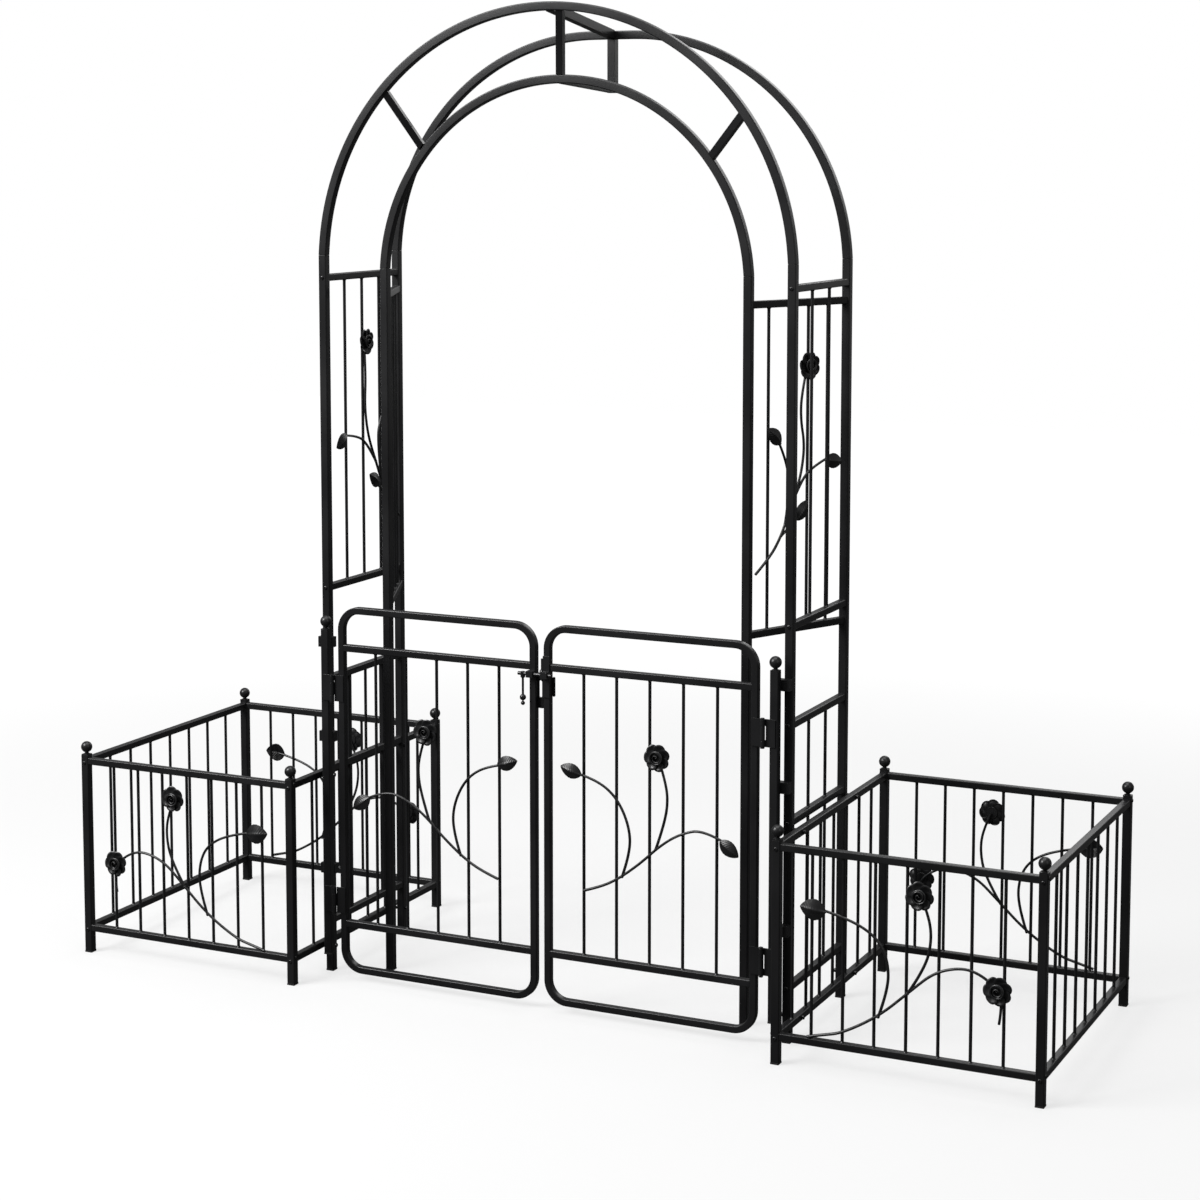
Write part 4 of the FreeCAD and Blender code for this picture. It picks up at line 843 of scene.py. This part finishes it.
leafLook = {
    "length": 52 * mm, "half": 16.3 * mm, "thick": 1.5 * mm, "lift": 0.8 * mm, "along": 54, "across": 20,
    # Its outline: how far the widest part lies back, how full the sides are, and the least half width.
    "back": 0.9, "full": 0.72, "least": 0.25 * mm,
    "teeth": 7, "tooth": 0.04, "toothFrom": 0.7,
    # Side veins, and how far they sweep forward on their way to the edge.
    "veins": 5, "vein": 0.9 * mm, "veinSharp": 8, "sweep": 0.22,
    "fold": 5.6 * mm, "crease": 1.15, "arch": 1.6 * mm, "archTo": 0.9,
    "rib": 1.6 * mm, "ribSharp": 7.5, "ribTaper": 0.6,
    # The stalk's outline, where it starts, and its angle to the leaf's own axis.
    "stalk": ((0, 0), (1.9 * mm, 0), (1.5 * mm, 10 * mm), (0.9 * mm, 22 * mm), (0, 22.5 * mm)),
    "stalkAt": (-1 * mm, 0, 0.9 * mm), "stalkTurn": 88, "stalkAround": 12,
}


def leafMesh(broad):
    # A pressed leaf along +X that faces +Z: folded along its raised middle rib, with side veins
    # and a toothed edge.
    look = leafLook
    points = []
    for row in range(look["along"] + 1):
        share = row / look["along"]
        half = look["half"] * broad * math.sin(math.pi * share ** look["back"]) ** look["full"]
        half += look["least"]
        tooth = 1 + look["tooth"] * ((share * look["teeth"]) % 1 - 0.5) * min(1.0, 4 * share * (1 - share))
        for column in range(look["across"] + 1):
            side = 2 * column / look["across"] - 1
            edge = abs(side)
            slope = share - look["sweep"] * edge
            vein = math.cos(2 * math.pi * look["veins"] * slope) ** look["veinSharp"]
            vein *= (1 - edge) * min(1.0, 5 * edge)
            rib = math.exp(-(side * look["ribSharp"]) ** 2) * (1 - share * look["ribTaper"])
            height = look["fold"] * (1 - edge ** look["crease"]) * math.sin(math.pi * share)
            height += look["arch"] * math.sin(math.pi * share * look["archTo"])
            height += look["vein"] * vein + look["rib"] * rib
            wide = side * half * (tooth if edge > look["toothFrom"] else 1.0)
            points.append((look["length"] * share, wide, height + look["lift"]))
    blade = sheetMesh(points, look["across"] + 1, look["thick"])
    stalk = turned(look["stalk"], look["stalkAround"])
    lying = Matrix.Rotation(math.radians(look["stalkTurn"]), 4, "Y")
    moved(stalk, Matrix.Translation(look["stalkAt"]) @ lying)
    return joinedMesh([blade, stalk])


def hangWork(work, flip, corner, turn):
    # The stems' meshes, and the spots of roses and leaves, where they are in the frame.
    matrix = Matrix.Translation(corner) @ Matrix.Rotation(math.radians(turn), 4, "Z")
    stems = []
    for number, points in enumerate(work["stems"]):
        route = [(flip * across, up) for across, up in points]
        stems.append(moved(stemMesh(route), matrix))
        if number:
            stems.append(moved(knotMesh(*route[0]), matrix))
    front = -(stemLook["radius"] + stemLook["gap"])
    roses, leaves = [], []
    for number, (across, up) in enumerate(work["roses"]):
        about = roseLook["firstTurn"] + roseLook["turnEach"] * number
        facing = Matrix.Rotation(math.radians(90), 4, "X") @ Matrix.Rotation(about, 4, "Z")
        spot = matrix @ Matrix.Translation((flip * across * mm, front, up * mm)) @ facing
        roses.append((spot.to_translation(), spot.to_euler(), 1.0))
    for across, up, angle in work["leaves"]:
        tip = angle if flip > 0 else 180 - angle
        facing = Matrix.Rotation(math.radians(90), 4, "X") @ Matrix.Rotation(math.radians(tip), 4, "Z")
        spot = matrix @ Matrix.Translation((flip * across * mm, front, up * mm)) @ facing
        leaves.append((spot.to_translation(), spot.to_euler(), work.get("grow", 1.0)))
    return stems, roses, leaves


def trellisPlace(word, side, before):
    # Flowers hang on the side trellis at the left, and on the inner trellis at the right.
    back = boxOf(f"back_post_{word}")[2]
    if side < 0:
        low, _, middle = boxOf(f"side_trellis_{word}")
        return sideWork, -1, (middle.x + before, back.y, low.z + panelLook["rail"] / 2), 90
    start = boxOf(f"inner_post_{word}")[2]
    foot = boxOf(f"inner_trellis_{word}")[0].z + panelLook["rail"] / 2
    aslant = math.atan2(back.y - start.y, back.x - start.x)
    corner = (start.x + before * math.sin(aslant), start.y - before * math.cos(aslant), foot)
    return innerWork, 1, corner, math.degrees(aslant)


def makeFlowerWork():
    counts = [0, 0, 0]
    before = panelLook["bar"] + stemLook["radius"] + stemLook["gap"]
    for word, side in sides:
        gateBox = boxOf(f"gate_frame_{word}")
        meeting = (gateBox[0].x if side > 0 else gateBox[1].x) + side * gateLook["tube"] / 2
        postBox = boxOf(f"planter_posts_{word}")
        inner = (postBox[0].x if side > 0 else postBox[1].x) + side * postSide / 2
        outer = (postBox[1].x if side > 0 else postBox[0].x) - side * postSide / 2
        jobs = (
            (f"gate_vine_{word}", f"gate_flowers_{word}", [
                (gateWork, side, (meeting, gateBox[2].y - before, 0), 0)]),
            (f"planter_vines_{word}", f"planter_flowers_{word}", [
                (planterWork, side, (inner, boxOf(f"planter_front_{word}")[2].y - before, 0), 0),
                (planterWork, side, (outer, boxOf(f"planter_back_{word}")[2].y + before, 0), 180)]),
            (f"trellis_vine_{word}", f"trellis_flowers_{word}", [trellisPlace(word, side, before)]),
        )
        for vineNode, flowerNode, places in jobs:
            stems, roses, leaves = [], [], []
            broad = places[0][0].get("broad", 1.0)
            for job in places:
                for found, kept in zip(hangWork(*job), (stems, roses, leaves)):
                    kept += found
            counts = [counts[0] + len(stems), counts[1] + len(roses), counts[2] + len(leaves)]
            finishPiece(vineNode, stems)
            heads = [copies(roseMesh(), roses), copies(leafMesh(broad), leaves)]
            finishPiece(flowerNode, heads, smoothAngle=finishLook["flowerAngle"])
    print("flower work:", counts[0], "stems and knots,", counts[1], "roses,", counts[2], "leaves")


# What keeps the frame's shape, with the width of its rounded edges

softEdges = {
    "arch_spacers": 1.2 * mm, "apex_bars": 1.2 * mm, "gate_post_brackets": 1.0 * mm,
    "hinge_brackets_left": 0.4 * mm, "hinge_brackets_right": 0.4 * mm,
    "hinge_straps_left": 0.4 * mm, "hinge_straps_right": 0.4 * mm,
    "latch_guide": 0.8 * mm, "latch_keeper": 0.8 * mm, "foot_plugs": 1.0 * mm,
}

makePosts()
makeArches()
makePanels()
makeGateFrames()
makeFinials()
makeScrewHeads()
makeLatchBolt()
makeFlowerWork()
for softNode, softWidth in softEdges.items():
    softened(softNode, softWidth)
print("softened copies:", len(softEdges))


# Floor, lights and camera

# The floor's paint as the camera sees it and as all else does. Away from the middle it fades to plain white.
stageLook = {"size": 24.0, "floor": 0.46, "mirrored": 0.06, "whiteFrom": 1.6, "whiteTo": 4.5,
             "whiteLeast": 0.66, "glow": 1.04, "worldLight": 0.3}


def makeStage():
    half = stageLook["size"] / 2
    floor = place("floor", meshOf([(-half, -half, 0), (half, -half, 0), (half, half, 0), (-half, half, 0)],
                                  (), [(0, 1, 2, 3)]))
    material = bpy.data.materials.new("paleFloor")
    material.use_nodes = True
    tree = material.node_tree
    tree.nodes.clear()
    seen = addNode(tree, "ShaderNodeLightPath").outputs["Is Camera Ray"]
    where = addNode(tree, "ShaderNodeTexCoord").outputs["Object"]
    away = addNode(tree, "ShaderNodeVectorMath", {"operation": "LENGTH"}, {0: where})
    share = addNode(tree, "ShaderNodeMapRange", {"interpolation_type": "SMOOTHSTEP"}, {
        "Value": away.outputs["Value"], "From Min": stageLook["whiteFrom"], "From Max": stageLook["whiteTo"],
        "To Min": stageLook["whiteLeast"], "To Max": 1.0})
    both = addNode(tree, "ShaderNodeMath", {"operation": "MULTIPLY"}, {0: share.outputs["Result"], 1: seen})
    # The steel mirrors dark ground, as it does in the photograph.
    pale = addNode(tree, "ShaderNodeMapRange", None, {
        "Value": seen, "To Min": stageLook["mirrored"], "To Max": stageLook["floor"]})
    paint = addNode(tree, "ShaderNodeBsdfDiffuse", None, {"Color": pale.outputs["Result"]})
    glow = addNode(tree, "ShaderNodeEmission", None, {"Color": (1, 1, 1, 1), "Strength": stageLook["glow"]})
    mix = addNode(tree, "ShaderNodeMixShader", None, {
        0: both.outputs[0], 1: paint.outputs[0], 2: glow.outputs[0]})
    addNode(tree, "ShaderNodeOutputMaterial", None, {"Surface": mix.outputs[0]})
    floor.data.materials.append(material)

    world = bpy.data.worlds.new("studio")
    bpy.context.scene.world = world
    world.use_nodes = True
    tree = world.node_tree
    tree.nodes.clear()
    light = addNode(tree, "ShaderNodeLightPath").outputs
    strength = addNode(tree, "ShaderNodeMapRange", None, {
        "Value": light["Is Camera Ray"], "To Min": stageLook["worldLight"], "To Max": 1.0})
    sky = addNode(tree, "ShaderNodeBackground", None, {
        "Color": (1, 1, 1, 1), "Strength": strength.outputs["Result"]})
    addNode(tree, "ShaderNodeOutputWorld", None, {"Surface": sky.outputs[0]})


lampLook = (
    {"name": "key", "at": (-3.2, -3.6, 4.2), "to": (0, 0, 0.9), "size": 2.6, "power": 520},
    {"name": "fill", "at": (4.4, -2.2, 2.8), "to": (0, 0, 0.8), "size": 2.4, "power": 24},
    {"name": "back", "at": (0.5, 4.6, 3.6), "to": (0, 0, 1.2), "size": 2.8, "power": 60},
    {"name": "top", "at": (0, -0.4, 5.4), "to": (0, 0, 0), "size": 4.0, "power": 230},
)


def makeLamps():
    for look in lampLook:
        lamp = bpy.data.lights.new(look["name"], "AREA")
        lamp.shape = "SQUARE"
        lamp.size = look["size"]
        lamp.energy = look["power"]
        holder = place(look["name"], lamp)
        holder.location = look["at"]
        holder.rotation_euler = (Vector(look["to"]) - Vector(look["at"])).to_track_quat("-Z", "Y").to_euler()


cameraLook = {"at": (2.4713, -5.1324, 1.8837), "turn": 25.48, "down": 5.914, "lens": 76.15,
              "sensor": 36, "shift": -0.15}


def makeCamera():
    camera = bpy.data.cameras.new("camera")
    camera.sensor_width = cameraLook["sensor"]
    camera.lens = cameraLook["lens"]
    camera.shift_y = cameraLook["shift"]
    holder = place("camera", camera)
    holder.location = cameraLook["at"]
    holder.rotation_euler = (math.radians(90 - cameraLook["down"]), 0, math.radians(cameraLook["turn"]))
    bpy.context.scene.camera = holder


makeStage()
makeLamps()
makeCamera()
bpy.context.scene.view_settings.view_transform = "Standard"
print("stage, lamps and camera")
